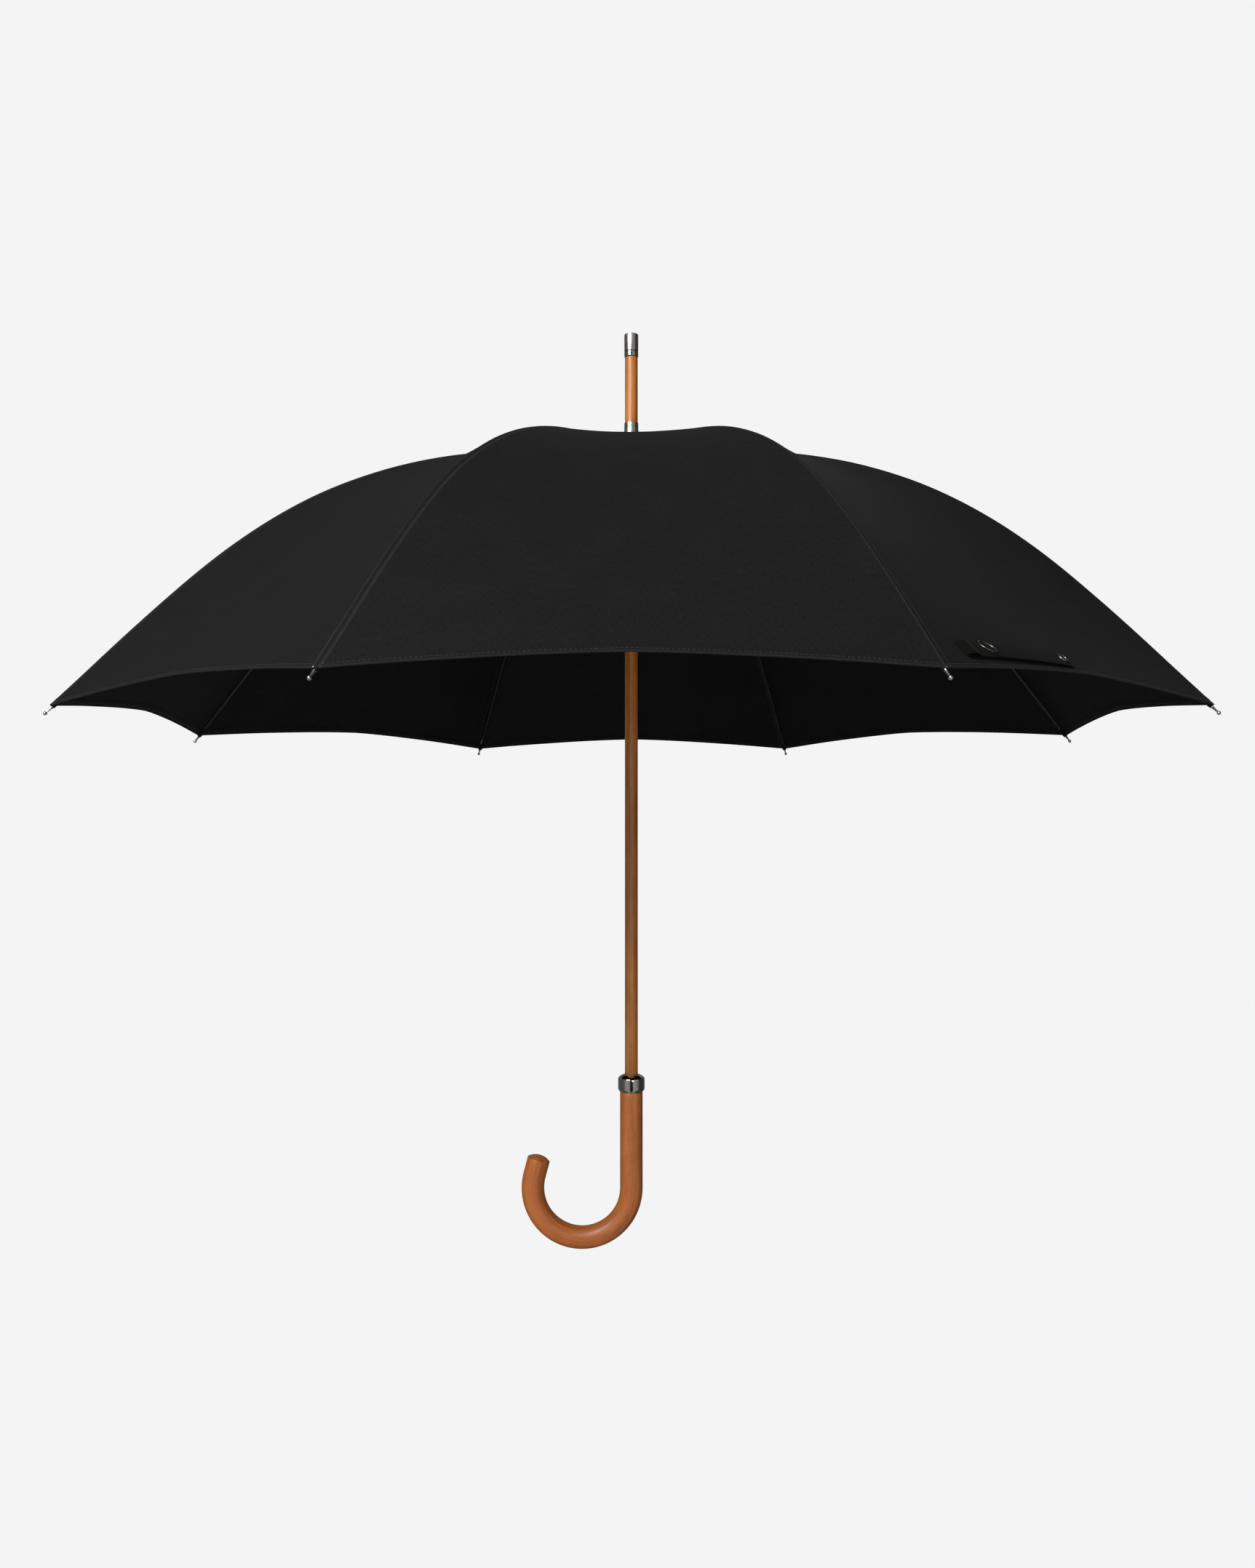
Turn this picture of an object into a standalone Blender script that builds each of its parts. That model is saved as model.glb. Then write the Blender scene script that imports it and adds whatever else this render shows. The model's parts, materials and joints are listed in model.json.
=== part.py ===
"""Stick umbrella, standing open: a wooden shaft with a crook handle, and a cloth canopy on eight hinged ribs.

Metres, +Z up along the shaft. The origin is on the shaft's axis, in the middle of the handle's straight grip, and
the crook bends towards -X. A rib's own frame has +X running out over the rib and the shaft's axis at x = 0.
"""

import math

import bmesh
import bpy
from mathutils import Matrix, Vector

# Clearances
GAP = 0.0003
SLIDE_GAP = 0.0004
PROUD = 0.0001
MERGE = 0.000002
POLE_MERGE = 0.00001

# Ribs and canopy, with heights counted from the plane of the ball tips
RIBS = 8
FIRST_RIB = math.radians(-67.5)
HALF_GORE = math.pi / RIBS
BALL_PLANE = 0.4025
SPAN_RADIUS = 0.5356
CROWN_RADIUS = 0.0118
CROWN_HEIGHT = 0.2697
RIB_CURVE = (
    Vector((CROWN_RADIUS, CROWN_HEIGHT)),
    Vector((0.3112, 0.2691)),
    Vector((0.3940, 0.1461)),
    Vector((SPAN_RADIUS, 0.0)),
)
HEM_AT_RIB = 0.9876
HEM_RISE = 0.0263
HEM_ROUND = 1.384
SAG = (0.1643, -0.1184, -0.0595)
CLOTH = 0.0008
CLOTH_HOLE = 0.0080
CLOTH_ROWS = 12
CLOTH_COLUMNS = 3
CLOTH_SPLIT = 0.0002
CORNER_LIFT = 0.0008
LIFT_FROM = 0.75

# Ribs: a steel channel out to the joint, then a glass-fibre rod out to the ball tip
JOINT_ROW = 4
RIB_DROP = 0.0036
BALL_DROP = 0.0018
PIVOT_RADIUS = 0.0115
CLOSED_DEGREES = 88.0
CHANNEL_WIDTH = 0.0032
CHANNEL_HEIGHT = 0.0030
CHANNEL_WALL = 0.0006
CHANNEL_START = 0.0200
BLADE = 0.0016
EYE_RADIUS = 0.0017
EYE_HOLE = 0.0010
EYE_STEPS = 7
HOLE_STEPS = 8
BLADE_OVERLAP = 0.0060
CHEEK_END = 0.0019
WEB_CUT_BACK = 0.0024
WEB_CUT_AHEAD = 0.0030
WEB_CUT_SIDE = 0.00005
TONGUE = 0.0014
TONGUE_HEIGHT = 0.0024
RIVET_RADIUS = 0.0006
RIVET_HOLE = 0.00095
RIVET_HALF = 0.0032
ROD_START = 0.0045
ROD_RADIUS = 0.0012
ROD_TIP_RADIUS = 0.0007
ROD_THIN_FROM = 0.0020
TONGUE_OVERLAP = 0.0030
BALL_RADIUS = 0.0017
NECK_RADIUS = 0.00075
NECK_LENGTH = 0.0004
SOCKET_LENGTH = 0.0092
SOCKET_RADIUS = 0.00135
SOCKET_BORE = 0.00100
SOCKET_FLOOR = 0.0064
SOCKET_RIM = 0.0006
TIP_TURNS = 16

# Stretchers
RUNNER_PIVOT_RADIUS = 0.0105
RUNNER_PIVOT = 0.1400
FORK_LENGTH = 0.0210
FORK_INNER = 0.0020
FORK_OUTER = 0.0026
FORK_BRIDGE = 0.0040
LOWER_BLADE = 0.0140
LOWER_BLADE_OVERLAP = 0.0040
STRETCHER_WIDTH = 0.0032
STRETCHER_HEIGHT = 0.0026

# Shaft and what is on it
SHAFT_RADIUS = 0.00635
SHAFT_BORE = 0.00660
SPIGOT_RADIUS = 0.0050
SHAFT_TURNS = 24
FERRULE_TOP = 0.3910
FERRULE_SPLIT = 0.3738
FERRULE_FOOT = 0.3680
FERRULE_RADIUS = 0.00695
FERRULE_CAP = 0.0040
FERRULE_CHAMFER = 0.0006
OPEN_CAP_TOP = 0.3024
OPEN_CAP_NECK = 0.0042
OPEN_CAP_BEND = 0.0108
OPEN_CAP_WALL = 0.0004
OPEN_CAP_BEND_RADIUS = 0.00775
OPEN_CAP_SKIRT = 0.0060
OPEN_CAP_SKIRT_RADIUS = 0.0098
OPEN_CAP_FOOT_RADIUS = 0.0114
OPEN_CAP_HEM = 0.0006
FLANGE_RADIUS = 0.0130
FLANGE_BELOW = 0.0043
FLANGE_ABOVE = 0.0017
GROOVE_RADIUS = 0.0096
GROOVE_HALF = 0.0008
SLEEVE_RADIUS = 0.0089
SLEEVE_LENGTH = 0.0100
SLOT_WIDTH = 0.0022
SLOT_FLOOR = 0.0086
SLOT_REACH = 0.0052
CUT_REACH = 0.0200
CUT_CLEAR = 0.0020
WIRE_RADIUS = 0.0005
ROSETTE_RADIUS = 0.0160
ROSETTE_THICK = 0.0005
RUNNER_TUBE_RADIUS = 0.0077
RUNNER_TUBE_BELOW = 0.0380
RUNNER_LIP = 0.0006
STOP_CLEARANCE = 0.0010
STOP_REACH = 0.0005
RUNNER_WINDOW = (0.0140, 0.0270)
PIN_RADIUS = 0.0008
PIN_HOLE = 0.0011

# Catch springs, set in slots on the shaft's back
SPRING_WIDTH = 0.0018
SPRING_SLOT = 0.0024
SPRING_LENGTH = 0.0380
SPRING_INNER = 0.0036
SPRING_OUTER = 0.0050
SPRING_NOSE = 0.0089
SPRING_NOSE_HEIGHT = 0.0100
SPRING_NOSE_EDGE = 0.0012
SPRING_TIP = 0.0015
SPRING_END_GAP = 0.0012
SPRING_SLOT_FLOOR = -0.0002

# Handle
GRIP_HALF = 0.0470
HANDLE_RADIUS = 0.01105
CROOK_RADIUS = 0.0481
CROOK_SWEEP = math.radians(215.0)
CROOK_STEPS = 20
HANDLE_DOME = 0.0035
SHOULDER = 0.0465
HANDLE_SPIGOT_RADIUS = 0.0095
SPIGOT_ROOT = 0.0050
HANDLE_SPIGOT = 0.0120
SHAFT_END = -0.0130
COLLAR_RADIUS = 0.0130
COLLAR_TOP = 0.0630
COLLAR_SEAT = 0.0588
COLLAR_LAND = 0.0016
COLLAR_RIM = ((0.0016, 0.0016), (0.0004, 0.0026), (0.0, 0.0038))
COLLAR_FOOT_RISE = 0.0022
COLLAR_FOOT_INSET = 0.0015

# Tie strap, on the gore beside the first rib, with places as (share of the way to the hem, share towards the rib)
STRAP_ENDS = ((0.9690, 0.84), (0.9780, 0.06))
STRAP_WIDTH = 0.0150
STRAP_THICK = 0.0010
STRAP_LIFT = 0.0012
STRAP_RING_AT = (0.9666, 0.665)
STRAP_RING_RADIUS = 0.0070
STRAP_RING_WIRE = 0.0006
SNAP_AT = (0.9766, 0.115)
SNAP_RADIUS = 0.0047
SNAP_THICK = 0.0016
SNAP_RIM = 0.0010
SNAP_RIM_DROP = 0.0007

MATERIALS = {
    "shaft_wood": ((0.42, 0.17, 0.055), 0.45, 0.0),
    "handle_wood": ((0.30, 0.105, 0.035), 0.35, 0.0),
    "nickel": ((0.62, 0.60, 0.55), 0.25, 1.0),
    "polished_nickel": ((0.55, 0.54, 0.52), 0.08, 1.0),
    "spring_steel": ((0.40, 0.40, 0.41), 0.35, 1.0),
    "black_steel": ((0.015, 0.015, 0.017), 0.40, 0.8),
    "glass_fibre": ((0.012, 0.012, 0.014), 0.35, 0.0),
    "canopy_cloth": ((0.018, 0.018, 0.020), 0.85, 0.0),
    "dark_metal": ((0.16, 0.155, 0.15), 0.30, 1.0),
}


# Scene, materials and modelling helpers


def clear_scene():
    for obj in list(bpy.data.objects):
        bpy.data.objects.remove(obj)


def collection(name):
    made = bpy.data.collections.new(name)
    bpy.context.scene.collection.children.link(made)
    return made


def material(name):
    found = bpy.data.materials.get(name)
    if found:
        return found
    colour, roughness, metallic = MATERIALS[name]
    made = bpy.data.materials.new(name)
    made.use_nodes = True
    shader = made.node_tree.nodes["Principled BSDF"]
    shader.inputs["Base Color"].default_value = (*colour, 1.0)
    shader.inputs["Roughness"].default_value = roughness
    shader.inputs["Metallic"].default_value = metallic
    made.diffuse_color = (*colour, 1.0)
    return made


def add(name, data, slot=None, place=None):
    """A new object in the umbrella's collection, with its material and its place in the world."""
    obj = bpy.data.objects.new(name, data)
    PARTS.objects.link(obj)
    if slot:
        data.materials.clear()
        data.materials.append(material(slot))
    if place:
        obj.matrix_world = place
    return obj


def hide_as_cutter(obj):
    for home in obj.users_collection:
        home.objects.unlink(obj)
    CUTTERS.objects.link(obj)
    obj.hide_render = True
    obj.display_type = "WIRE"
    return obj


def boolean(obj, other, operation):
    hide_as_cutter(other)
    modifier = obj.modifiers.new(other.name, "BOOLEAN")
    modifier.operation = operation
    modifier.solver = "EXACT"
    modifier.object = other


def turned(name, profile, slot, turns=SHAFT_TURNS, place=None):
    """A solid of revolution about Z from (radius, height) points that run down its outer side."""
    on_axis = profile[0][0] == 0
    mesh = bpy.data.meshes.new(name)
    count = len(profile)
    edges = [(i, i + 1) for i in range(count - 1)]
    if not on_axis:
        edges.append((count - 1, 0))
    mesh.from_pydata([(r, 0, z) for r, z in profile], edges, [])
    obj = add(name, mesh, slot, place)
    screw = obj.modifiers.new("turn", "SCREW")
    screw.steps = turns
    screw.render_steps = turns
    screw.use_merge_vertices = True
    screw.merge_threshold = POLE_MERGE
    return obj


def box(name, low, high):
    mesh = bpy.data.meshes.new(name)
    form = bmesh.new()
    bmesh.ops.create_cube(form, size=1.0)
    size = Vector(high) - Vector(low)
    middle = (Vector(high) + Vector(low)) / 2
    bmesh.ops.transform(form, matrix=Matrix.Translation(middle) @ Matrix.Diagonal((*size, 1.0)), verts=form.verts)
    form.to_mesh(mesh)
    form.free()
    return add(name, mesh)


def rod(name, radius, start, end, sides=8, slot=None):
    """A straight cylinder between two points."""
    start, end = Vector(start), Vector(end)
    mesh = bpy.data.meshes.new(name)
    form = bmesh.new()
    turn = (end - start).to_track_quat("Z", "Y").to_matrix().to_4x4()
    bmesh.ops.create_cone(
        form,
        cap_ends=True,
        segments=sides,
        radius1=radius,
        radius2=radius,
        depth=(end - start).length,
        matrix=Matrix.Translation((start + end) / 2) @ turn,
    )
    form.to_mesh(mesh)
    form.free()
    return add(name, mesh, slot)


def ring(name, radius, wire, height, slot, segments=24, place=None):
    """A wire ring about Z."""
    bpy.ops.mesh.primitive_torus_add(
        major_radius=radius, minor_radius=wire, major_segments=segments, minor_segments=6, location=(0, 0, 0)
    )
    made = bpy.context.object
    mesh = made.data
    bpy.data.objects.remove(made)
    mesh.transform(Matrix.Translation((0, 0, height)))
    mesh.name = name
    return add(name, mesh, slot, place)


def path(name, points, radius, resolution, slot=None, radii=None, outline=None):
    """A tube, or a bar of the given outline kept upright, along a poly line with filled ends."""
    curve = bpy.data.curves.new(name, "CURVE")
    curve.dimensions = "3D"
    curve.twist_mode = "Z_UP" if outline else "MINIMUM"
    curve.use_fill_caps = True
    spline = curve.splines.new("POLY")
    spline.points.add(len(points) - 1)
    for i, point in enumerate(points):
        spline.points[i].co = (*point, 1.0)
        spline.points[i].radius = radii[i] if radii else 1.0
    if outline:
        curve.bevel_mode = "OBJECT"
        curve.bevel_object = outline
    else:
        curve.bevel_depth = radius
        curve.bevel_resolution = resolution
    return add(name, curve, slot)


def outline(name, corners):
    """A closed flat outline that a bar is drawn along."""
    curve = bpy.data.curves.new(name, "CURVE")
    curve.dimensions = "2D"
    spline = curve.splines.new("POLY")
    spline.points.add(len(corners) - 1)
    for point, corner in zip(spline.points, corners):
        point.co = (*corner, 0.0, 1.0)
    spline.use_cyclic_u = True
    return hide_as_cutter(add(name, curve))


def as_mesh(obj, name=None):
    """The object's evaluated shape as a welded mesh; the object and its cutters are removed."""
    bpy.context.view_layer.update()
    evaluated = obj.evaluated_get(bpy.context.evaluated_depsgraph_get())
    mesh = bpy.data.meshes.new_from_object(evaluated)
    mesh.transform(obj.matrix_world)
    form = bmesh.new()
    form.from_mesh(mesh)
    bmesh.ops.remove_doubles(form, verts=form.verts, dist=MERGE)
    bmesh.ops.recalc_face_normals(form, faces=form.faces)
    form.to_mesh(mesh)
    form.free()
    mesh.name = name or obj.name
    for modifier in obj.modifiers:
        if modifier.type == "BOOLEAN":
            bpy.data.objects.remove(modifier.object)
    bpy.data.objects.remove(obj)
    return mesh


def meshed(obj, slot=None):
    """The same object, made a mesh so that it can be cut or joined."""
    name = obj.name
    mesh = as_mesh(obj)
    return add(name, mesh, slot)


# The canopy's shape


def rib_curve(s):
    """A point of the canopy's outer face over a rib, and the inward normal there, both as (radius, height)."""
    a, b, c, d = RIB_CURVE
    point = (1 - s) ** 3 * a + 3 * (1 - s) ** 2 * s * b + 3 * (1 - s) * s**2 * c + s**3 * d
    slope = (1 - s) ** 2 * (b - a) + 2 * (1 - s) * s * (c - b) + s**2 * (d - c)
    slope.normalize()
    return point, Vector((slope.y, -slope.x))


def rib_line(s):
    """A point of a rib's own centre line, in the rib's frame."""
    share = max(0.0, (s - LIFT_FROM) / (1 - LIFT_FROM))
    point, inward = rib_curve(s)
    point = point + inward * (RIB_DROP + share * (BALL_DROP - RIB_DROP))
    return Vector((point.x, 0.0, point.y + BALL_PLANE))


def gore_point(side, s, t, lift=0.0):
    """A point of the canopy's outer face, in a rib's frame.

    s runs from 0 at the crown to 1 at the hem, and t from 0 on the gore's centre line to 1 on the rib. side is 1 or -1,
    and lift raises the point off the face.
    """
    along = s * (HEM_AT_RIB - HEM_RISE * (1 - t**HEM_ROUND))
    point, inward = rib_curve(along)
    width = 2 * point.x * math.sin(HALF_GORE)
    sag = width**2 / SPAN_RADIUS * (SAG[0] + SAG[1] * along + SAG[2] * along**2) * (1 - t**2)
    out = point.x * math.cos(HALF_GORE) + inward.x * (sag - lift)
    height = point.y + inward.y * (sag - lift)
    across = max(point.x * math.sin(HALF_GORE) * t, CLOTH_SPLIT)
    x = out * math.cos(HALF_GORE) + across * math.sin(HALF_GORE)
    y = side * (out * math.sin(HALF_GORE) - across * math.cos(HALF_GORE))
    return Vector((x, y, height + BALL_PLANE))


def rib_frame(number):
    return Matrix.Rotation(FIRST_RIB + number * 2 * HALF_GORE, 4, "Z")


def around(name, mesh, slot, origin):
    """One copy of a rib-frame mesh on each rib, with its origin on its joint."""
    mesh.transform(Matrix.Translation(-origin))
    for number in range(RIBS):
        add(f"{name}_{number + 1}", mesh, slot, rib_frame(number) @ Matrix.Translation(origin))


def canopy():
    """Eight cloth sectors, each running half a gore to either side of its rib."""
    mesh = bpy.data.meshes.new("canopy")
    form = bmesh.new()
    rows = CLOTH_ROWS + 1
    columns = 2 * CLOTH_COLUMNS
    bmesh.ops.create_grid(form, x_segments=rows, y_segments=columns, size=0.5)
    for vert in form.verts:
        row = round((vert.co.x + 0.5) * rows)
        across = round(vert.co.y * columns) / CLOTH_COLUMNS
        side = 1 if across >= 0 else -1
        s = max(0, row - 1) / CLOTH_ROWS
        t = 1 - abs(across)
        lift = CORNER_LIFT * max(0.0, (s - LIFT_FROM) / (1 - LIFT_FROM)) * t**4
        vert.co = gore_point(side, s, t, lift)
        if row == 0:
            shrink = CLOTH_HOLE / CROWN_RADIUS
            vert.co.x *= shrink
            vert.co.y *= shrink
    form.to_mesh(mesh)
    form.free()
    sheet = add("cloth", mesh)
    solid = sheet.modifiers.new("thickness", "SOLIDIFY")
    solid.thickness = CLOTH
    solid.offset = -1
    origin = joint_point()
    around("canopy", as_mesh(sheet, "canopy"), "canopy_cloth", origin)


# Ribs and stretchers


def joint_point():
    """The axis on which the rib's two parts and its stretcher meet, in the rib's frame."""
    return rib_line(HEM_AT_RIB * JOINT_ROW / CLOTH_ROWS)


def joint_direction():
    """The rib's direction at the joint."""
    s = HEM_AT_RIB * JOINT_ROW / CLOTH_ROWS
    return (rib_line(s + 0.01) - rib_line(s - 0.01)).normalized()


def rib_pivot():
    """The rib's hinge on the notch's wire, in the rib's frame."""
    return Vector((PIVOT_RADIUS, 0.0, CROWN_HEIGHT - RIB_DROP + BALL_PLANE))


def runner_pivot():
    return Vector((RUNNER_PIVOT_RADIUS, 0.0, RUNNER_PIVOT + BALL_PLANE))


def along(start, direction):
    """A frame with its origin at start and +X along direction, in the rib's plane."""
    angle = math.atan2(-direction.z, direction.x)
    return Matrix.Translation(start) @ Matrix.Rotation(angle, 4, "Y")


def link_plate(name, reach, half_height, eye_radius, hole_radius, thickness, place):
    """A flat bar with a round drilled eye: the eye is at the frame's origin and the bar runs along its +X."""
    curve = bpy.data.curves.new(name, "CURVE")
    curve.dimensions = "2D"
    curve.fill_mode = "BOTH"
    curve.extrude = thickness / 2
    start = math.asin(half_height / eye_radius)
    angles = [start + (2 * math.pi - 2 * start) * step / EYE_STEPS for step in range(EYE_STEPS + 1)]
    rim = [(eye_radius * math.cos(angle), eye_radius * math.sin(angle)) for angle in angles]
    holes = [2 * math.pi * step / HOLE_STEPS for step in range(HOLE_STEPS)]
    hole = [(hole_radius * math.cos(angle), hole_radius * math.sin(angle)) for angle in holes]
    for corners in ([*rim, (reach, -half_height), (reach, half_height)], hole):
        spline = curve.splines.new("POLY")
        spline.points.add(len(corners) - 1)
        for point, corner in zip(spline.points, corners):
            point.co = (*corner, 0.0, 1.0)
        spline.use_cyclic_u = True
    return meshed(add(name, curve, place=place @ Matrix.Rotation(math.pi / 2, 4, "X")))


def rib_channels():
    """The inner part of a rib: a channel open below, with a flat eye at the notch and a rivet at the joint."""
    w, h, wall = CHANNEL_WIDTH / 2, CHANNEL_HEIGHT / 2, CHANNEL_WALL
    section = outline(
        "channel_section",
        ((-w, h), (-w, -h), (wall - w, -h), (wall - w, h - wall), (w - wall, h - wall), (w - wall, -h), (w, -h), (w, h)),
    )
    pivot, joint, direction = rib_pivot(), joint_point(), joint_direction()
    rows = [rib_line(HEM_AT_RIB * row / CLOTH_ROWS) for row in range(1, JOINT_ROW)]
    points = [Vector((CHANNEL_START, 0, pivot.z)), *rows, joint, joint + direction * CHEEK_END]
    body = meshed(path("channel", points, 0, 0, outline=section))
    reach = CHANNEL_START + BLADE_OVERLAP - PIVOT_RADIUS
    half_height = h - wall / 2
    blade = link_plate("blade", reach, half_height, EYE_RADIUS, EYE_HOLE, BLADE, Matrix.Translation(pivot))
    boolean(body, blade, "UNION")
    body = meshed(body)
    inside = w - wall + WEB_CUT_SIDE
    web = box("web_cut", (-WEB_CUT_BACK, -inside, -WEB_CUT_AHEAD), (WEB_CUT_AHEAD, inside, WEB_CUT_AHEAD))
    web.matrix_world = along(joint, direction)
    boolean(body, web, "DIFFERENCE")
    body = meshed(body)
    half = Vector((0, RIVET_HALF, 0))
    boolean(body, rod("rivet", RIVET_RADIUS, joint - half, joint + half), "UNION")
    around("rib_channel", as_mesh(body), "black_steel", pivot)
    bpy.data.objects.remove(section)


def rib_rods():
    """The outer part of a rib: a rod that thins towards the ball tip, with a flat eye at the joint."""
    joint, direction = joint_point(), joint_direction()
    tip = tip_frame()
    rows = [rib_line(HEM_AT_RIB * row / CLOTH_ROWS) for row in range(JOINT_ROW + 1, CLOTH_ROWS)]
    rod_end = tip @ Vector((0, 0, -SOCKET_FLOOR - 2 * GAP))
    socket_mouth = tip @ Vector((0, 0, -SOCKET_LENGTH - ROD_THIN_FROM))
    points = [joint + direction * ROD_START, *rows, socket_mouth, rod_end]
    thin = ROD_TIP_RADIUS / ROD_RADIUS
    radii = [1.0] * (len(points) - 2) + [thin, thin]
    bar = meshed(path("rod", points, ROD_RADIUS, 1, radii=radii))
    frame = along(joint, direction)
    half = TONGUE_HEIGHT / 2
    tongue = link_plate("tongue", ROD_START + TONGUE_OVERLAP, half, half * 1.3, RIVET_HOLE, TONGUE, frame)
    boolean(bar, tongue, "UNION")
    around("rib_rod", as_mesh(bar), "glass_fibre", joint)


def tip_frame():
    """The ball tip's frame, in the rib's frame: origin at the ball's centre and +Z out along the rib."""
    centre = rib_line(1.0)
    direction = centre - rib_line(0.97)
    return Matrix.Translation(centre) @ direction.to_track_quat("Z", "X").to_matrix().to_4x4()


def ball_tips():
    """A turned nickel tip: a ball on a conical socket that the rib's rod goes into."""
    ball = [
        (BALL_RADIUS * math.sin(angle), BALL_RADIUS * math.cos(angle))
        for angle in (math.radians(a) for a in range(0, 151, 30))
    ]
    profile = [
        *ball,
        (NECK_RADIUS, -BALL_RADIUS - NECK_LENGTH),
        (SOCKET_RADIUS, -SOCKET_LENGTH + SOCKET_RIM),
        (SOCKET_RADIUS, -SOCKET_LENGTH),
        (SOCKET_BORE, -SOCKET_LENGTH),
        (SOCKET_BORE, -SOCKET_FLOOR),
        (0.0, -SOCKET_FLOOR),
    ]
    tip = turned("tip", profile, "polished_nickel", turns=TIP_TURNS)
    tip.matrix_world = tip_frame()
    around("ball_tip", as_mesh(tip), "polished_nickel", rib_line(1.0))


def stretchers():
    """A bar with a fork round the rib at its upper end, and a flat eye in the runner's slot at its lower end."""
    joint, pivot = joint_point(), runner_pivot()
    length = (pivot - joint).length
    h = STRETCHER_HEIGHT / 2
    w = STRETCHER_WIDTH / 2
    body = box("bar", (FORK_LENGTH, -w, -h), (length - LOWER_BLADE + LOWER_BLADE_OVERLAP, w, h))
    low = (FORK_LENGTH - PROUD, -FORK_OUTER - PROUD, -h - PROUD)
    high = (FORK_LENGTH + FORK_BRIDGE, FORK_OUTER + PROUD, h + PROUD)
    boolean(body, box("bridge", low, high), "UNION")
    body = meshed(body)
    for side in (-1, 1):
        place = Matrix.Translation((0, side * (FORK_INNER + FORK_OUTER) / 2, 0))
        thick = FORK_OUTER - FORK_INNER
        cheek = link_plate("cheek", FORK_LENGTH + FORK_BRIDGE / 2, h, h * 1.2, RIVET_HOLE, thick, place)
        boolean(body, cheek, "UNION")
        body = meshed(body)
    turn_back = Matrix.Translation((length, 0, 0)) @ Matrix.Rotation(math.pi, 4, "Z")
    boolean(body, link_plate("blade", LOWER_BLADE, h * 0.8, EYE_RADIUS, EYE_HOLE, BLADE, turn_back), "UNION")
    body = meshed(body)
    body.matrix_world = along(joint, pivot - joint)
    around("stretcher", as_mesh(body), "black_steel", joint)


# What is on the shaft


def flange_profile(pivot, above, below, sleeve_radius, sleeve_from, sleeve_to, bore):
    """A slotted flange's half section, with a groove for the wire that its arms hinge on."""
    groove = [
        (FLANGE_RADIUS, pivot + GROOVE_HALF),
        (GROOVE_RADIUS, pivot + GROOVE_HALF),
        (GROOVE_RADIUS, pivot - GROOVE_HALF),
        (FLANGE_RADIUS, pivot - GROOVE_HALF),
    ]
    top = [(bore, sleeve_to), (sleeve_radius, sleeve_to), (sleeve_radius, pivot + above)]
    foot = [(FLANGE_RADIUS, pivot - below), (sleeve_radius, pivot - below), (sleeve_radius, sleeve_from)]
    if sleeve_to == pivot + above:
        top = [(bore, sleeve_to)]
    return [*top, (FLANGE_RADIUS, pivot + above), *groove, *foot, (bore, sleeve_from)]


def slotted(obj, pivot):
    """Cuts the eight slots that the arms' eyes turn in."""
    half = SLOT_WIDTH / 2
    cutters = bpy.data.meshes.new("slots")
    form = bmesh.new()
    for number in range(RIBS):
        made = bmesh.ops.create_cube(form, size=1.0)
        low = Vector((SLOT_FLOOR, -half, pivot - SLOT_REACH))
        high = Vector((FLANGE_RADIUS + CUT_CLEAR, half, pivot + SLOT_REACH))
        place = Matrix.Translation((low + high) / 2) @ Matrix.Diagonal((*(high - low), 1.0))
        bmesh.ops.transform(form, matrix=rib_frame(number) @ place, verts=made["verts"])
    form.to_mesh(cutters)
    form.free()
    boolean(obj, add("slots", cutters), "DIFFERENCE")


def crown():
    """The top notch, its wire and pin, the cloth washer over it, and the open cap that holds the canopy down."""
    pivot = rib_pivot().z
    foot = pivot - FLANGE_BELOW - SLEEVE_LENGTH
    section = flange_profile(pivot, FLANGE_ABOVE, FLANGE_BELOW, SLEEVE_RADIUS, foot, pivot + FLANGE_ABOVE, SHAFT_BORE)
    notch = turned("top_notch", section, "black_steel")
    slotted(notch, pivot)
    pin_height = foot + SLEEVE_LENGTH / 2
    reach = Vector((0, CUT_REACH, 0))
    centre = Vector((0, 0, pin_height))
    boolean(notch, rod("notch_pin_hole", PIN_HOLE, centre - reach, centre + reach), "DIFFERENCE")
    half = Vector((0, SLEEVE_RADIUS - PROUD, 0))
    rod("notch_pin", PIN_RADIUS, centre - half, centre + half, 8, "spring_steel")
    ring("notch_wire", PIVOT_RADIUS, WIRE_RADIUS, pivot, "spring_steel")
    cloth_under = BALL_PLANE + CROWN_HEIGHT - CLOTH
    top = cloth_under - GAP
    low = top - ROSETTE_THICK
    turned(
        "crown_washer",
        [(SHAFT_BORE, top), (ROSETTE_RADIUS, top), (ROSETTE_RADIUS, low), (SHAFT_BORE, low)],
        "canopy_cloth",
    )
    open_cap()
    return pin_height


def open_cap():
    """A thin nickel cone, closed in to the shaft at its top, that presses on the cloth at the crown."""
    foot = BALL_PLANE + CROWN_HEIGHT + GAP
    top = BALL_PLANE + OPEN_CAP_TOP
    neck = top - OPEN_CAP_NECK
    bend = top - OPEN_CAP_BEND
    skirt = foot + OPEN_CAP_SKIRT
    outer = [
        (FERRULE_RADIUS - GAP, top),
        (FERRULE_RADIUS, top - GAP),
        (FERRULE_RADIUS, neck),
        (OPEN_CAP_BEND_RADIUS, bend),
        (OPEN_CAP_SKIRT_RADIUS, skirt),
        (OPEN_CAP_FOOT_RADIUS, foot + OPEN_CAP_HEM),
        (OPEN_CAP_FOOT_RADIUS, foot),
    ]
    inner = [
        (OPEN_CAP_FOOT_RADIUS - OPEN_CAP_WALL, foot),
        (OPEN_CAP_SKIRT_RADIUS - OPEN_CAP_WALL, skirt),
        (OPEN_CAP_BEND_RADIUS - OPEN_CAP_WALL, bend),
        (SHAFT_BORE, neck),
        (SHAFT_BORE, top),
    ]
    turned("open_cap", [*outer, *inner], "nickel")


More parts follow.
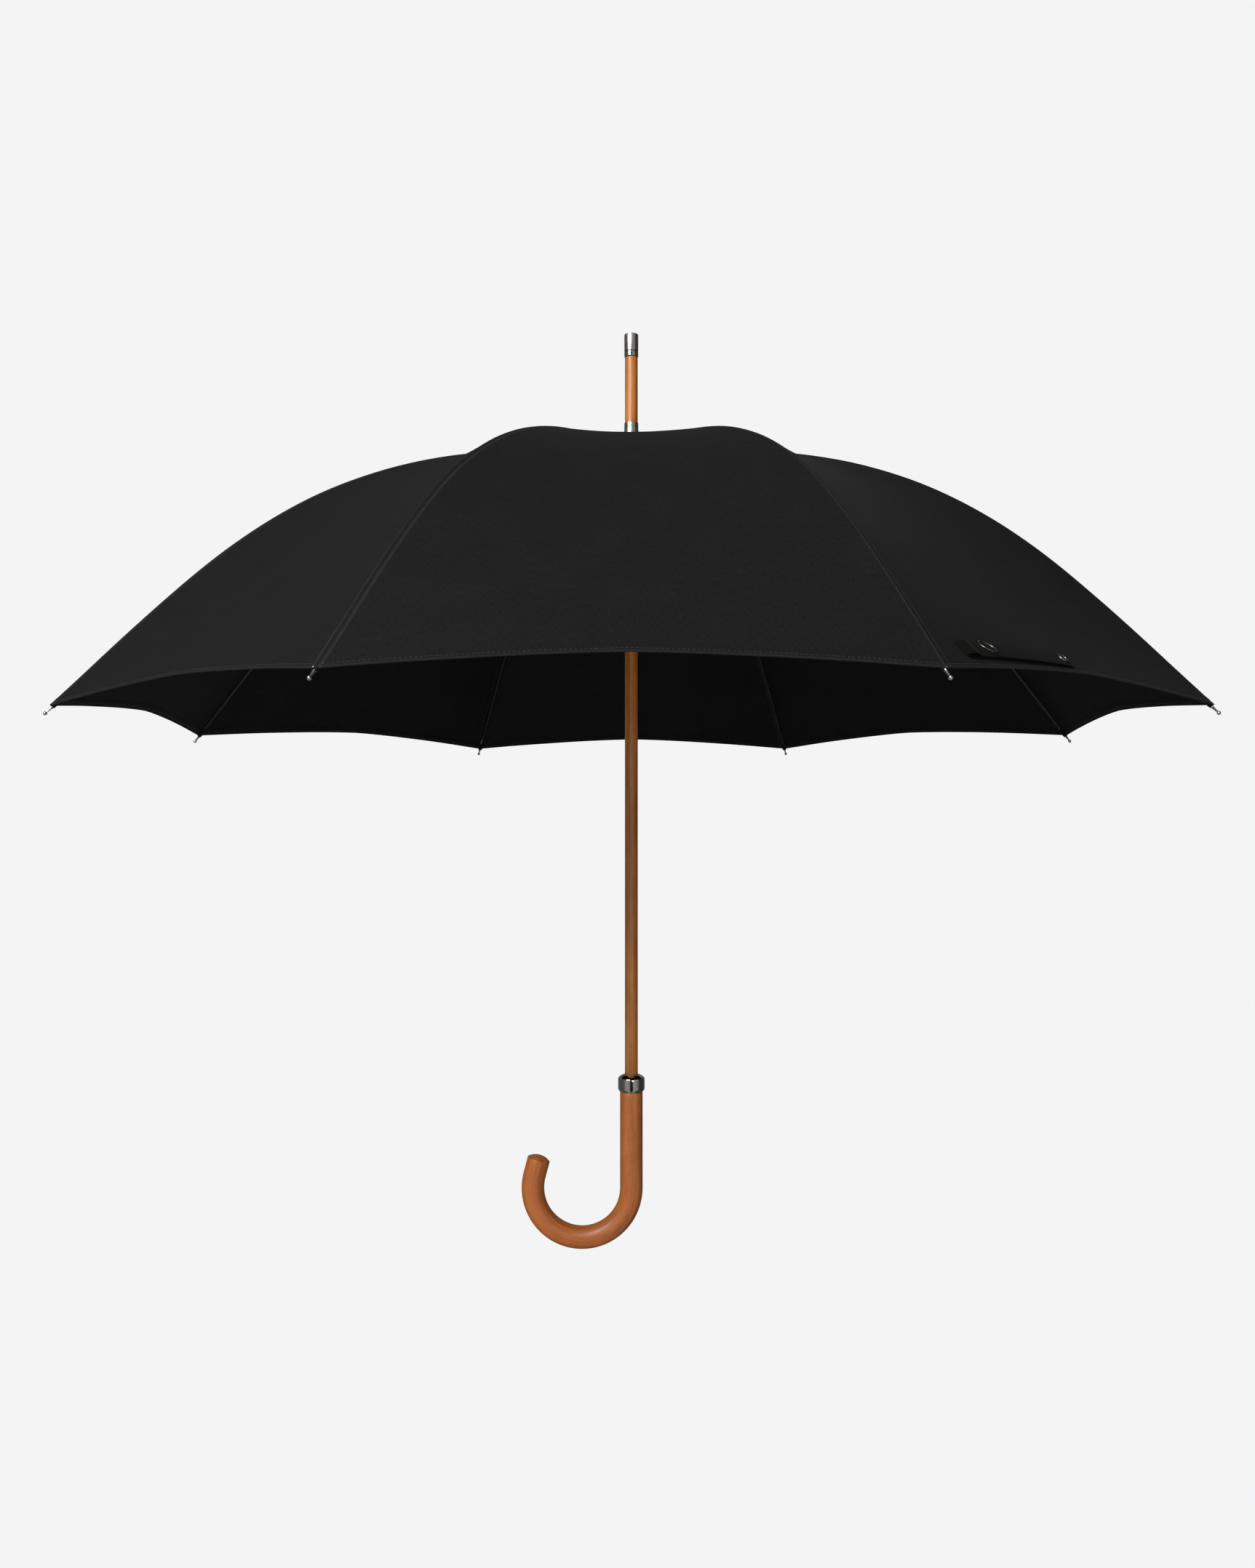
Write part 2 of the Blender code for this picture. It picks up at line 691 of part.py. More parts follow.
def ferrule():
    """The nickel ferrule on the shaft's end, and the polished band below it."""
    top, split, foot = (BALL_PLANE + h for h in (FERRULE_TOP, FERRULE_SPLIT, FERRULE_FOOT))
    bore = SPIGOT_RADIUS + GAP
    inside = top - FERRULE_CAP
    turned(
        "ferrule",
        [
            (0.0, top),
            (FERRULE_RADIUS - FERRULE_CHAMFER, top),
            (FERRULE_RADIUS, top - FERRULE_CHAMFER),
            (FERRULE_RADIUS, split + GAP),
            (bore, split + GAP),
            (bore, inside),
            (0.0, inside),
        ],
        "nickel",
    )
    ledge = foot + GAP
    turned(
        "ferrule_band",
        [(bore, split), (FERRULE_RADIUS, split), (FERRULE_RADIUS, ledge), (bore, ledge)],
        "polished_nickel",
    )


def shaft(pin_height, stop_height, spring_spans):
    """The wooden shaft, with cross holes for two pins and slots on its back for the catch springs."""
    top = BALL_PLANE + FERRULE_TOP - FERRULE_CAP - GAP
    shoulder = BALL_PLANE + FERRULE_FOOT
    profile = [
        (0.0, top),
        (SPIGOT_RADIUS, top),
        (SPIGOT_RADIUS, shoulder),
        (SHAFT_RADIUS, shoulder),
        (SHAFT_RADIUS, SHAFT_END),
        (0.0, SHAFT_END),
    ]
    stick = turned("shaft", profile, "shaft_wood")
    for height, reach in ((pin_height, Vector((0, CUT_REACH, 0))), (stop_height, Vector((CUT_REACH, 0, 0)))):
        centre = Vector((0, 0, height))
        boolean(stick, rod("pin_hole", PIN_HOLE, centre - reach, centre + reach), "DIFFERENCE")
    half = SPRING_SLOT / 2
    for low, high in spring_spans:
        boolean(stick, box("spring_slot", (-half, SPRING_SLOT_FLOOR, low), (half, CUT_REACH, high)), "DIFFERENCE")


def runner(pivot):
    """The runner: a slotted flange on a tube that slides on the shaft, with a window for the lower catch."""
    top = pivot + FLANGE_ABOVE + RUNNER_LIP
    foot = pivot - RUNNER_TUBE_BELOW
    bore = SHAFT_RADIUS + SLIDE_GAP
    section = flange_profile(pivot, FLANGE_ABOVE, FLANGE_BELOW, RUNNER_TUBE_RADIUS, foot, top, bore)
    tube = turned("runner", section, "black_steel")
    slotted(tube, pivot)
    half = SPRING_SLOT / 2 + GAP
    low, high = pivot - RUNNER_WINDOW[1], pivot - RUNNER_WINDOW[0]
    boolean(tube, box("window", (-half, SPRING_INNER, low), (half, FLANGE_RADIUS, high)), "DIFFERENCE")
    ring("runner_wire", RUNNER_PIVOT_RADIUS, WIRE_RADIUS, pivot, "spring_steel")


def catch_spring(name, ledge, upward):
    """A flat spring in a slot on the shaft's back, with a nose that stands out of it.

    ledge is the height of the nose's square face, which looks up if upward is 1 and down if it is -1. The spring's
    origin is on its other end, where it is held.
    """
    held = ledge - upward * SPRING_LENGTH
    tip = ledge + upward * SPRING_TIP
    corners = [
        (SPRING_INNER, held),
        (SPRING_OUTER, held),
        (SPRING_OUTER, ledge - upward * SPRING_NOSE_HEIGHT),
        (SPRING_NOSE, ledge - upward * SPRING_NOSE_EDGE),
        (SPRING_NOSE, ledge),
        (SPRING_OUTER, ledge),
        (SPRING_OUTER, tip),
        (SPRING_INNER, tip),
    ]
    origin = Vector((0, (SPRING_INNER + SPRING_OUTER) / 2, held))
    curve = bpy.data.curves.new(name, "CURVE")
    curve.dimensions = "2D"
    curve.fill_mode = "BOTH"
    curve.extrude = SPRING_WIDTH / 2
    spline = curve.splines.new("POLY")
    spline.points.add(len(corners) - 1)
    for point, (y, z) in zip(spline.points, corners):
        point.co = (y - origin.y, z - origin.z, 0.0, 1.0)
    spline.use_cyclic_u = True
    upright = Matrix(((0, 0, 1), (1, 0, 0), (0, 1, 0))).to_4x4()
    add(name, curve, "spring_steel", Matrix.Translation(origin) @ upright)
    return sorted((held - upward * SPRING_END_GAP, tip + upward * SPRING_END_GAP))


def handle():
    """The crook handle: a straight grip with a bore for the shaft, then a round hook with a domed end."""
    centre = Vector((-CROOK_RADIUS, 0, -GRIP_HALF))
    points = [Vector((0, 0, SHOULDER)), Vector((0, 0, 0))]
    radii = [1.0, 1.0]
    dome_angle = HANDLE_DOME / CROOK_RADIUS
    sweep = [CROOK_SWEEP * step / CROOK_STEPS for step in range(CROOK_STEPS + 1)]
    for angle in sweep:
        points.append(centre + CROOK_RADIUS * Vector((math.cos(angle), 0, -math.sin(angle))))
        radii.append(1.0)
    for share in (0.45, 0.8, 1.0):
        angle = CROOK_SWEEP + dome_angle * share
        points.append(centre + CROOK_RADIUS * Vector((math.cos(angle), 0, -math.sin(angle))))
        radii.append(math.sqrt(1 - (0.93 * share) ** 2))
    body = meshed(path("handle", points, HANDLE_RADIUS, 6, "handle_wood", radii), "handle_wood")
    spigot = rod("spigot", HANDLE_SPIGOT_RADIUS, (0, 0, SHOULDER - SPIGOT_ROOT), (0, 0, SHOULDER + HANDLE_SPIGOT), 24)
    boolean(body, spigot, "UNION")
    bore = rod("shaft_bore", SHAFT_BORE, (0, 0, SHAFT_END - GAP), (0, 0, COLLAR_TOP), SHAFT_TURNS)
    boolean(body, bore, "DIFFERENCE")


def collar():
    """The nickel collar between handle and shaft, with a rounded upper rim."""
    bore = HANDLE_SPIGOT_RADIUS + GAP
    foot = SHOULDER + GAP
    rim = [
        (SHAFT_BORE, COLLAR_TOP),
        (SHAFT_BORE + COLLAR_LAND, COLLAR_TOP),
        *((COLLAR_RADIUS - inset, COLLAR_TOP - drop) for inset, drop in COLLAR_RIM),
    ]
    base = [
        (COLLAR_RADIUS, foot + COLLAR_FOOT_RISE),
        (COLLAR_RADIUS - COLLAR_FOOT_INSET, foot),
        (bore, foot),
        (bore, COLLAR_SEAT),
        (SHAFT_BORE, COLLAR_SEAT),
    ]
    turned("handle_collar", [*rim, *base], "polished_nickel")


# Tie strap


def on_gore(place, lift):
    """A frame on the canopy beside the first rib, in the rib's frame: +X along the hem to the rib, +Z off the cloth."""
    s, t = place
    here = gore_point(1, s, t, lift)
    ahead = gore_point(1, s, t + 0.02, lift)
    below = gore_point(1, s + 0.02, t, lift)
    x = (ahead - here).normalized()
    z = x.cross(below - here).normalized()
    y = z.cross(x)
    turn = Matrix((x, y, z)).transposed().to_4x4()
    return Matrix.Translation(here) @ turn


def tie_strap():
    """The tie strap lying on its gore near the hem, with its ring and its snap."""
    mesh = bpy.data.meshes.new("tie_strap")
    form = bmesh.new()
    steps = 10
    bmesh.ops.create_grid(form, x_segments=steps, y_segments=2, size=0.5)
    (s0, t0), (s1, t1) = STRAP_ENDS
    for vert in form.verts:
        share = vert.co.x + 0.5
        place = (s0 + share * (s1 - s0), t0 + share * (t1 - t0))
        vert.co = on_gore(place, STRAP_LIFT) @ Vector((0, vert.co.y * STRAP_WIDTH, 0))
    bmesh.ops.recalc_face_normals(form, faces=form.faces)
    form.to_mesh(mesh)
    form.free()
    band = add("strap_band", mesh)
    solid = band.modifiers.new("thickness", "SOLIDIFY")
    solid.thickness = STRAP_THICK
    solid.offset = 1 if mesh.polygons[0].normal.z > 0 else -1
    add("tie_strap", as_mesh(band, "tie_strap"), "canopy_cloth", rib_frame(0))
    top = STRAP_LIFT + STRAP_THICK + 2 * GAP
    ring_place = rib_frame(0) @ on_gore(STRAP_RING_AT, top + STRAP_RING_WIRE)
    ring("strap_ring", STRAP_RING_RADIUS, STRAP_RING_WIRE, 0.0, "dark_metal", 16, ring_place)
    snap_place = rib_frame(0) @ on_gore(SNAP_AT, top)
    profile = [
        (0.0, SNAP_THICK),
        (SNAP_RADIUS - SNAP_RIM, SNAP_THICK),
        (SNAP_RADIUS, SNAP_THICK - SNAP_RIM_DROP),
        (SNAP_RADIUS, 0.0),
        (0.0, 0.0),
    ]
    turned("strap_snap", profile, "dark_metal", turns=16, place=snap_place)


def build():
    canopy()
    rib_channels()
    rib_rods()
    ball_tips()
    stretchers()
    pin_height = crown()
    ferrule()
    open_at = runner_pivot().z
    runner(open_at)
    stop_height = open_at + FLANGE_ABOVE + RUNNER_LIP + GAP + PIN_RADIUS + STOP_CLEARANCE
    stop = Vector((RUNNER_TUBE_RADIUS + STOP_REACH, 0, 0))
    centre = Vector((0, 0, stop_height))
    rod("stop_pin", PIN_RADIUS, centre - stop, centre + stop, 8, "spring_steel")
    upper = catch_spring("upper_catch_spring", open_at - RUNNER_TUBE_BELOW - GAP, 1)
    window_low = closed_pivot() - RUNNER_WINDOW[1]
    lower = catch_spring("lower_catch_spring", window_low + GAP * 2, -1)
    shaft(pin_height, stop_height, (upper, lower))
    handle()
    collar()
    tie_strap()


def closed_pivot():
    """The runner pivot's height with the umbrella closed and the ribs' inner parts 88 degrees below level."""
    pivot, joint, open_at = rib_pivot(), joint_point(), runner_pivot()
    closed = math.radians(CLOSED_DEGREES)
    reach = (joint - pivot).length
    length = (open_at - joint).length
    knee = pivot + reach * Vector((math.cos(closed), 0, -math.sin(closed)))
    inset = knee.x - open_at.x
    return knee.z - math.sqrt(length**2 - inset**2)


clear_scene()
PARTS = collection("stick_umbrella")
CUTTERS = collection("cutters")
build()
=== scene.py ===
"""Stick umbrella, standing open: its cloth, its fine surfaces and its looks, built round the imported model.

Metres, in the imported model's frame: +Z up along the shaft, with the crook towards -X. A rib's own frame has
+X running out over the rib and the shaft's axis at x = 0; rib 1 is the front right one and they count
anticlockwise from above.
"""

import json
import math

import bmesh
import bpy
import numpy as np
from mathutils import Matrix, Vector, noise


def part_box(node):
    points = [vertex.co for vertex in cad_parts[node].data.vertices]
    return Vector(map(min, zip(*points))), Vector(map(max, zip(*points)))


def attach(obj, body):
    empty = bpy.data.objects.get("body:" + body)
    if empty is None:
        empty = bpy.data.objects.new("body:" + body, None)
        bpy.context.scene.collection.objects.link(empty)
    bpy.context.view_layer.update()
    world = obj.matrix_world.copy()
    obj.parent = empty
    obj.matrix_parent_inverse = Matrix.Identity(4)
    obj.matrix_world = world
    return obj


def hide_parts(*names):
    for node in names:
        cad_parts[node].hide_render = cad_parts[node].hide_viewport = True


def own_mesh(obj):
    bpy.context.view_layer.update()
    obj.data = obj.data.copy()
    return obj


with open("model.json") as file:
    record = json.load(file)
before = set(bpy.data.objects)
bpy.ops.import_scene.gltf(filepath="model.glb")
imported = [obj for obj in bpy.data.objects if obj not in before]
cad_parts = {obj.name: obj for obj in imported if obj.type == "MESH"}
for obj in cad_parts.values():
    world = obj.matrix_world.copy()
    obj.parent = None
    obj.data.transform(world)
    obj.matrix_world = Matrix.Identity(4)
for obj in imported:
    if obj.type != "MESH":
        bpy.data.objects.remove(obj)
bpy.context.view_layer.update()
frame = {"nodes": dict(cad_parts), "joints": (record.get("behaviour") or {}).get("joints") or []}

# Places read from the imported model


def low(node):
    return Vector(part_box(node)[0])


def high(node):
    return Vector(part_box(node)[1])


def joint_place(name):
    """A joint's place as (radius from the shaft's axis, height), and its direction round the shaft."""
    x, y, z = next(joint["pos_m"] for joint in frame["joints"] if joint["name"] == name)
    return math.hypot(x, y), z, math.atan2(y, x)


RIBS = 8
HALF_GORE = math.pi / RIBS
JOINT_RADIUS, _, FIRST_RIB = joint_place("rib_1_flex")
CROWN_TOP = high("canopy_1").z

# The canopy's curve, with heights counted from the plane of the ball tips, as the CAD canopy has them
CROWN_RADIUS = 0.0118
CROWN_HEIGHT = 0.2697
BALL_PLANE = CROWN_TOP - CROWN_HEIGHT
SPAN_RADIUS = 0.5356
RIB_CURVE = np.array([(CROWN_RADIUS, CROWN_HEIGHT), (0.3112, 0.2691), (0.3940, 0.1461), (SPAN_RADIUS, 0.0)])
HEM_AT_RIB = 0.9876
HEM_RISE = 0.0263
HEM_ROUND = 1.384
SAG = (0.1643, -0.1184, -0.0595)
RIB_DROP = 0.0036
BALL_DROP = 0.0018
LIFT_FROM = 0.75
CORNER_LIFT = 0.0008
CLOTH_HOLE = 0.0080
WASHER_BORE = 0.0070

# Cloth
CLOTH_THICK = 0.00045
HEM_THICK = 0.0011
HEM_DEPTH = 0.0078
HEM_STITCH_AT = 0.0034
HEM_ROWS = (0.0112, 0.0084, 0.0072, 0.0052, 0.0042, 0.0034, 0.0026, 0.0012, 0.0)
INNER_ROWS = 16
OUTER_ROWS = 34
GORE_COLUMNS = 10
SEAM_WIDTH = 0.0042
SEAM_RAISE = 0.00035
SEAM_COLUMNS = (-0.0005, 0.0004, 0.0014)
TUCK = 0.0006
LAP = (-0.0022, -0.0010, 0.0003)
STITCH_PITCH = 0.0033
STITCH_LENGTH = 0.0023
STITCH_RADIUS = 0.00017
WEAVE_ALONG = 1.08  # the weave's length along a gore, over the gore's straight chord
RIPPLE = 0.00022
RIPPLE_SIZE = 0.055

# The tilt out from its rib of the line that fold_line works out for each half gore's fold
FOLD_TILT = math.radians(25.0)

GAP = 0.0002

# Tie strap, on the gore beside the first rib: (share of the way to the hem, share towards the rib)
STRAP_ENDS = ((0.9690, 0.84), (0.9780, 0.06))
STRAP_WIDTH = 0.0150
STRAP_THICK = 0.0009
STRAP_LIFT = 0.0012
STRAP_TAB = 0.0150
STRAP_RING_AT = (0.9666, 0.665)
STRAP_RING_RADIUS = 0.0070
STRAP_RING_WIRE = 0.0006
SNAP_AT = (0.9766, 0.115)
SNAP_RADIUS = 0.0047

# Handle
HANDLE_SWEEP = math.radians(195.0)
HANDLE_END = 0.0158
HANDLE_DOME = 0.0038

# Round pieces
TURNS = 64
TIP_TURNS = 24


# Materials


def shader_material(name, colour, roughness, metallic=0.0, **sockets):
    """A Principled material, with the uniform values set on the shader's own sockets."""
    made = bpy.data.materials.new(name)
    made.use_nodes = True
    shader = made.node_tree.nodes["Principled BSDF"]
    shader.inputs["Base Color"].default_value = (*colour, 1.0)
    shader.inputs["Roughness"].default_value = roughness
    shader.inputs["Metallic"].default_value = metallic
    for socket, value in sockets.items():
        shader.inputs[socket.replace("_", " ")].default_value = value
    return made, made.node_tree, shader


def node(tree, kind, **settings):
    made = tree.nodes.new(kind)
    for name, value in settings.items():
        setattr(made, name, value)
    return made


def place_from(tree, attribute, scale):
    """Coordinates in metres from a named attribute, or from the object if it has none, scaled per axis."""
    if attribute:
        source = node(tree, "ShaderNodeAttribute", attribute_name=attribute).outputs["Vector"]
    else:
        source = node(tree, "ShaderNodeTexCoord").outputs["Object"]
    mapping = node(tree, "ShaderNodeMapping")
    mapping.inputs["Scale"].default_value = scale
    tree.links.new(source, mapping.inputs["Vector"])
    return mapping.outputs["Vector"]


def noise_of(tree, place, scale=1.0, detail=3.0, rough=0.5):
    made = node(tree, "ShaderNodeTexNoise")
    made.inputs["Scale"].default_value = scale
    made.inputs["Detail"].default_value = detail
    made.inputs["Roughness"].default_value = rough
    tree.links.new(place, made.inputs["Vector"])
    return made.outputs["Fac"]


def ramp_of(tree, fac, stops):
    """A colour ramp: stops are (position, colour)."""
    made = node(tree, "ShaderNodeValToRGB")
    elements = made.color_ramp.elements
    while len(elements) < len(stops):
        elements.new(0.5)
    for element, (position, colour) in zip(elements, stops):
        element.position = position
        element.color = (*colour, 1.0)
    tree.links.new(fac, made.inputs["Fac"])
    return made.outputs["Color"]


def span_of(tree, fac, low_value, high_value, low_from=0.3, high_from=0.7):
    made = node(tree, "ShaderNodeMapRange")
    made.inputs["From Min"].default_value = low_from
    made.inputs["From Max"].default_value = high_from
    made.inputs["To Min"].default_value = low_value
    made.inputs["To Max"].default_value = high_value
    tree.links.new(fac, made.inputs["Value"])
    return made.outputs["Result"]


def mix_of(tree, fac, a, b, blend="MIX"):
    made = node(tree, "ShaderNodeMix", data_type="RGBA", blend_type=blend)
    for socket, value in ((made.inputs[0], fac), (made.inputs[6], a), (made.inputs[7], b)):
        if isinstance(value, bpy.types.NodeSocket):
            tree.links.new(value, socket)
        else:
            socket.default_value = value
    return made.outputs[2]


def math_of(tree, operation, a, b):
    made = node(tree, "ShaderNodeMath", operation=operation)
    for socket, value in zip(made.inputs, (a, b)):
        if isinstance(value, bpy.types.NodeSocket):
            tree.links.new(value, socket)
        else:
            socket.default_value = value
    return made.outputs[0]


def bump_of(tree, shader, height, distance, strength=1.0, below=None):
    made = node(tree, "ShaderNodeBump")
    made.inputs["Distance"].default_value = distance
    made.inputs["Strength"].default_value = strength
    tree.links.new(height, made.inputs["Height"])
    if below:
        tree.links.new(below, made.inputs["Normal"])
    tree.links.new(made.outputs["Normal"], shader.inputs["Normal"])
    return made.outputs["Normal"]


def weave_of(tree, pitch):
    """A plain weave's height, from threads that run both ways over the cloth attribute."""
    place = place_from(tree, "cloth", (1.0, 1.0, 1.0))
    waves = []
    for direction in ("X", "Y"):
        wave = node(tree, "ShaderNodeTexWave", wave_type="BANDS", bands_direction=direction)
        wave.inputs["Scale"].default_value = math.pi / 10 / pitch
        wave.inputs["Distortion"].default_value = 0.6
        tree.links.new(place, wave.inputs["Vector"])
        waves.append(wave.outputs["Fac"])
    across = math_of(tree, "MAXIMUM", *waves)
    return math_of(tree, "ADD", across, math_of(tree, "MULTIPLY", *waves))


def cloth_material(name, dark, light, pitch=0.0007):
    made, tree, shader = shader_material(
        name, light, 0.75, Sheen_Weight=0.02, Sheen_Roughness=0.30, Specular_IOR_Level=0.10
    )
    slub = noise_of(tree, place_from(tree, "cloth", (1500.0, 190.0, 1.0)), detail=4.0, rough=0.6)
    fleck = noise_of(tree, place_from(tree, "cloth", (700.0, 900.0, 1.0)), detail=5.0, rough=0.7)
    broad = noise_of(tree, place_from(tree, "cloth", (26.0, 18.0, 1.0)), detail=2.0)
    thread = ramp_of(tree, slub, ((0.30, dark), (0.72, light)))
    fine = ramp_of(tree, fleck, ((0.30, (0.72,) * 3), (0.70, (1.25,) * 3)))
    worn = ramp_of(tree, broad, ((0.30, (0.90,) * 3), (0.75, (1.08,) * 3)))
    colour = mix_of(tree, 1.0, mix_of(tree, 1.0, thread, fine, "MULTIPLY"), worn, "MULTIPLY")
    # The cloth is painted lighter where this attribute says: a painted highlight along the rib seams, and a
    # lighter line at the hem's edge.
    edge = node(tree, "ShaderNodeAttribute", attribute_name="seam_highlight_hem_edge").outputs["Fac"]
    colour = mix_of(tree, edge, colour, (*[4.0 * c for c in light], 1.0))
    tree.links.new(colour, shader.inputs["Base Color"])
    tree.links.new(span_of(tree, fleck, 0.64, 0.86), shader.inputs["Roughness"])
    weave = bump_of(tree, shader, weave_of(tree, pitch), 0.00006, 0.7)
    bump_of(tree, shader, slub, 0.00012, 0.5, weave)
    return made


def thread_material():
    made, tree, shader = shader_material("thread", (0.010, 0.010, 0.011), 0.6, Sheen_Weight=0.3)
    ply = noise_of(tree, place_from(tree, None, (2600.0, 2600.0, 2600.0)), detail=2.0)
    colours = ramp_of(tree, ply, ((0.3, (0.004,) * 3), (0.7, (0.020,) * 3)))
    tree.links.new(colours, shader.inputs["Base Color"])
    bump_of(tree, shader, ply, 0.00008)
    return made


def wood_material(name, dark, middle, light, pores, gloss):
    """Wood with its grain along the grain attribute's Z: broad streaks, fine fibres and short dark pores."""
    made, tree, shader = shader_material(name, middle, gloss, Coat_Weight=0.12, Coat_Roughness=0.28)
    streaks = noise_of(tree, place_from(tree, "grain", (260.0, 260.0, 9.0)), detail=6.0, rough=0.62)
    fibres = noise_of(tree, place_from(tree, "grain", (2300.0, 2300.0, 120.0)), detail=3.0, rough=0.6)
    cloud = noise_of(tree, place_from(tree, "grain", (45.0, 45.0, 22.0)), detail=3.0)
    pore = noise_of(tree, place_from(tree, "grain", (3400.0, 3400.0, 520.0)), detail=1.5)
    colour = ramp_of(tree, streaks, ((0.28, dark), (0.50, middle), (0.74, light)))
    fibre_tint = ramp_of(tree, fibres, ((0.25, (0.80, 0.77, 0.72)), (0.75, (1.13, 1.12, 1.10))))
    colour = mix_of(tree, 1.0, colour, fibre_tint, "MULTIPLY")
    cloud_tint = ramp_of(tree, cloud, ((0.3, (0.84, 0.80, 0.76)), (0.7, (1.10, 1.10, 1.10))))
    colour = mix_of(tree, 1.0, colour, cloud_tint, "MULTIPLY")
    pore_mask = span_of(tree, pore, 0.0, pores, 0.60, 0.72)
    colour = mix_of(tree, pore_mask, colour, (*[0.35 * c for c in dark], 1.0))
    tree.links.new(colour, shader.inputs["Base Color"])
    tree.links.new(span_of(tree, cloud, gloss - 0.06, gloss + 0.09), shader.inputs["Roughness"])
    grain = bump_of(tree, shader, fibres, 0.00005, 0.6)
    bump_of(tree, shader, math_of(tree, "MULTIPLY", pore_mask, -1.0), 0.00008, 0.6, grain)
    return made


def metal_material(name, colour, roughness, spread, brushed, metallic=1.0, stain=0.12):
    """Metal with fine turned lines round the shaft, faint smears and a mottled tarnish."""
    made, tree, shader = shader_material(name, colour, roughness, metallic)
    lines = noise_of(tree, place_from(tree, None, (60.0, 60.0, 5200.0)), detail=3.0, rough=0.7)
    smear = noise_of(tree, place_from(tree, None, (130.0, 130.0, 60.0)), detail=4.0, rough=0.6)
    tarnish = [c * (1.0 - stain) for c in colour]
    tree.links.new(ramp_of(tree, smear, ((0.35, tarnish), (0.65, colour))), shader.inputs["Base Color"])
    gloss = span_of(tree, smear, roughness - spread, roughness + spread)
    tree.links.new(gloss, shader.inputs["Roughness"])
    bump_of(tree, shader, lines, 0.00002, brushed)
    return made


def lacquer_material(name, colour, worn, roughness, metallic):
    """Dark lacquered or moulded bars: a slightly uneven film with worn, brighter patches."""
    coat = {"Coat_Weight": 0.2, "Coat_Roughness": 0.3}
    made, tree, shader = shader_material(name, colour, roughness, metallic, **coat)
    peel = noise_of(tree, place_from(tree, None, (900.0, 900.0, 900.0)), detail=3.0)
    rub = noise_of(tree, place_from(tree, None, (240.0, 240.0, 240.0)), detail=6.0, rough=0.7)
    tree.links.new(ramp_of(tree, rub, ((0.55, colour), (0.80, worn))), shader.inputs["Base Color"])
    tree.links.new(span_of(tree, rub, roughness + 0.08, roughness - 0.08), shader.inputs["Roughness"])
    bump_of(tree, shader, peel, 0.00003, 0.6)
    return made


CLOTH = cloth_material("canopy_cloth", (0.0042, 0.0042, 0.0045), (0.0105, 0.0105, 0.0110))
STRAP_CLOTH = cloth_material("strap_cloth", (0.0025, 0.0025, 0.0024), (0.0060, 0.0058, 0.0054), 0.0009)
THREAD = thread_material()
SHAFT_WOOD = wood_material(
    "shaft_wood", (0.26, 0.073, 0.012), (0.45, 0.158, 0.027), (0.58, 0.230, 0.046), 0.35, 0.38
)
HANDLE_WOOD = wood_material(
    "handle_wood", (0.30, 0.083, 0.016), (0.46, 0.136, 0.027), (0.57, 0.190, 0.042), 0.60, 0.42
)
NICKEL = metal_material("nickel", (0.60, 0.585, 0.52), 0.30, 0.06, 0.5)
POLISHED = metal_material("polished_nickel", (0.66, 0.645, 0.60), 0.12, 0.04, 0.15)
SPRING = metal_material("spring_steel", (0.42, 0.42, 0.43), 0.34, 0.06, 0.5)
DARK_METAL = metal_material("dark_metal", (0.20, 0.195, 0.185), 0.30, 0.07, 0.2)
BLACK_STEEL = lacquer_material("black_steel", (0.012, 0.012, 0.013), (0.07, 0.068, 0.065), 0.36, 0.6)
GLASS_FIBRE = lacquer_material("glass_fibre", (0.010, 0.010, 0.011), (0.024, 0.024, 0.026), 0.34, 0.0)


# Building pieces


def piece(name, mesh, body, materials, replaced=()):
    """A new visible piece that rides on a body, with its finish and the CAD nodes that it stands for."""
    obj = bpy.data.objects.new(name, mesh)
    bpy.context.scene.collection.objects.link(obj)
    mesh.materials.clear()
    for material in materials:
        mesh.materials.append(material)
    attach(obj, body)
    if replaced:
        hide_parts(*replaced)
    return obj


def grain_from(mesh, places, name="grain"):
    attribute = mesh.attributes.new(name, "FLOAT_VECTOR", "POINT")
    attribute.data.foreach_set("vector", np.asarray(places, np.float32).ravel())


def smooth(mesh, degrees=35.0):
    mesh.polygons.foreach_set("use_smooth", [True] * len(mesh.polygons))
    mesh.set_sharp_from_angle(angle=math.radians(degrees))


def rounded(corners, steps=4):
    """A poly line through (radius, height, fillet) corners, each rounded by its fillet's reach."""
    points = [Vector(corner[:2]) for corner in corners]
    line = []
    for i, point in enumerate(points):
        fillet = corners[i][2] if len(corners[i]) > 2 else 0.0
        if not fillet:
            line.append(tuple(point))
            continue
        before = (points[i - 1] - point).normalized() * fillet
        after = (points[(i + 1) % len(points)] - point).normalized() * fillet
        for step in range(steps + 1):
            share = step / steps
            line.append(tuple(point + before * (1 - share) ** 2 + after * share**2))
    return line


def lathe(name, line, turns=TURNS, place=None, closed=True):
    """A body turned about Z from (radius, height) points; a radius of 0 makes a pole."""
    form = bmesh.new()
    rings = []
    for radius, height in line:
        if radius < 1e-7:
            rings.append([form.verts.new((0, 0, height))] * turns)
            continue
        angles = (2 * math.pi * turn / turns for turn in range(turns))
        rings.append([form.verts.new((radius * math.cos(a), radius * math.sin(a), height)) for a in angles])
    pairs = list(zip(rings, rings[1:]))
    if closed and line[0][0] > 1e-7:
        pairs.append((rings[-1], rings[0]))
    for first, second in pairs:
        for turn in range(turns):
            ahead = (turn + 1) % turns
            corners = [first[turn], second[turn], second[ahead], first[ahead]]
            form.faces.new(list(dict.fromkeys(corners)))
    bmesh.ops.recalc_face_normals(form, faces=form.faces)
    mesh = bpy.data.meshes.new(name)
    form.to_mesh(mesh)
    form.free()
    if place:
        mesh.transform(place)
    smooth(mesh)
    return mesh


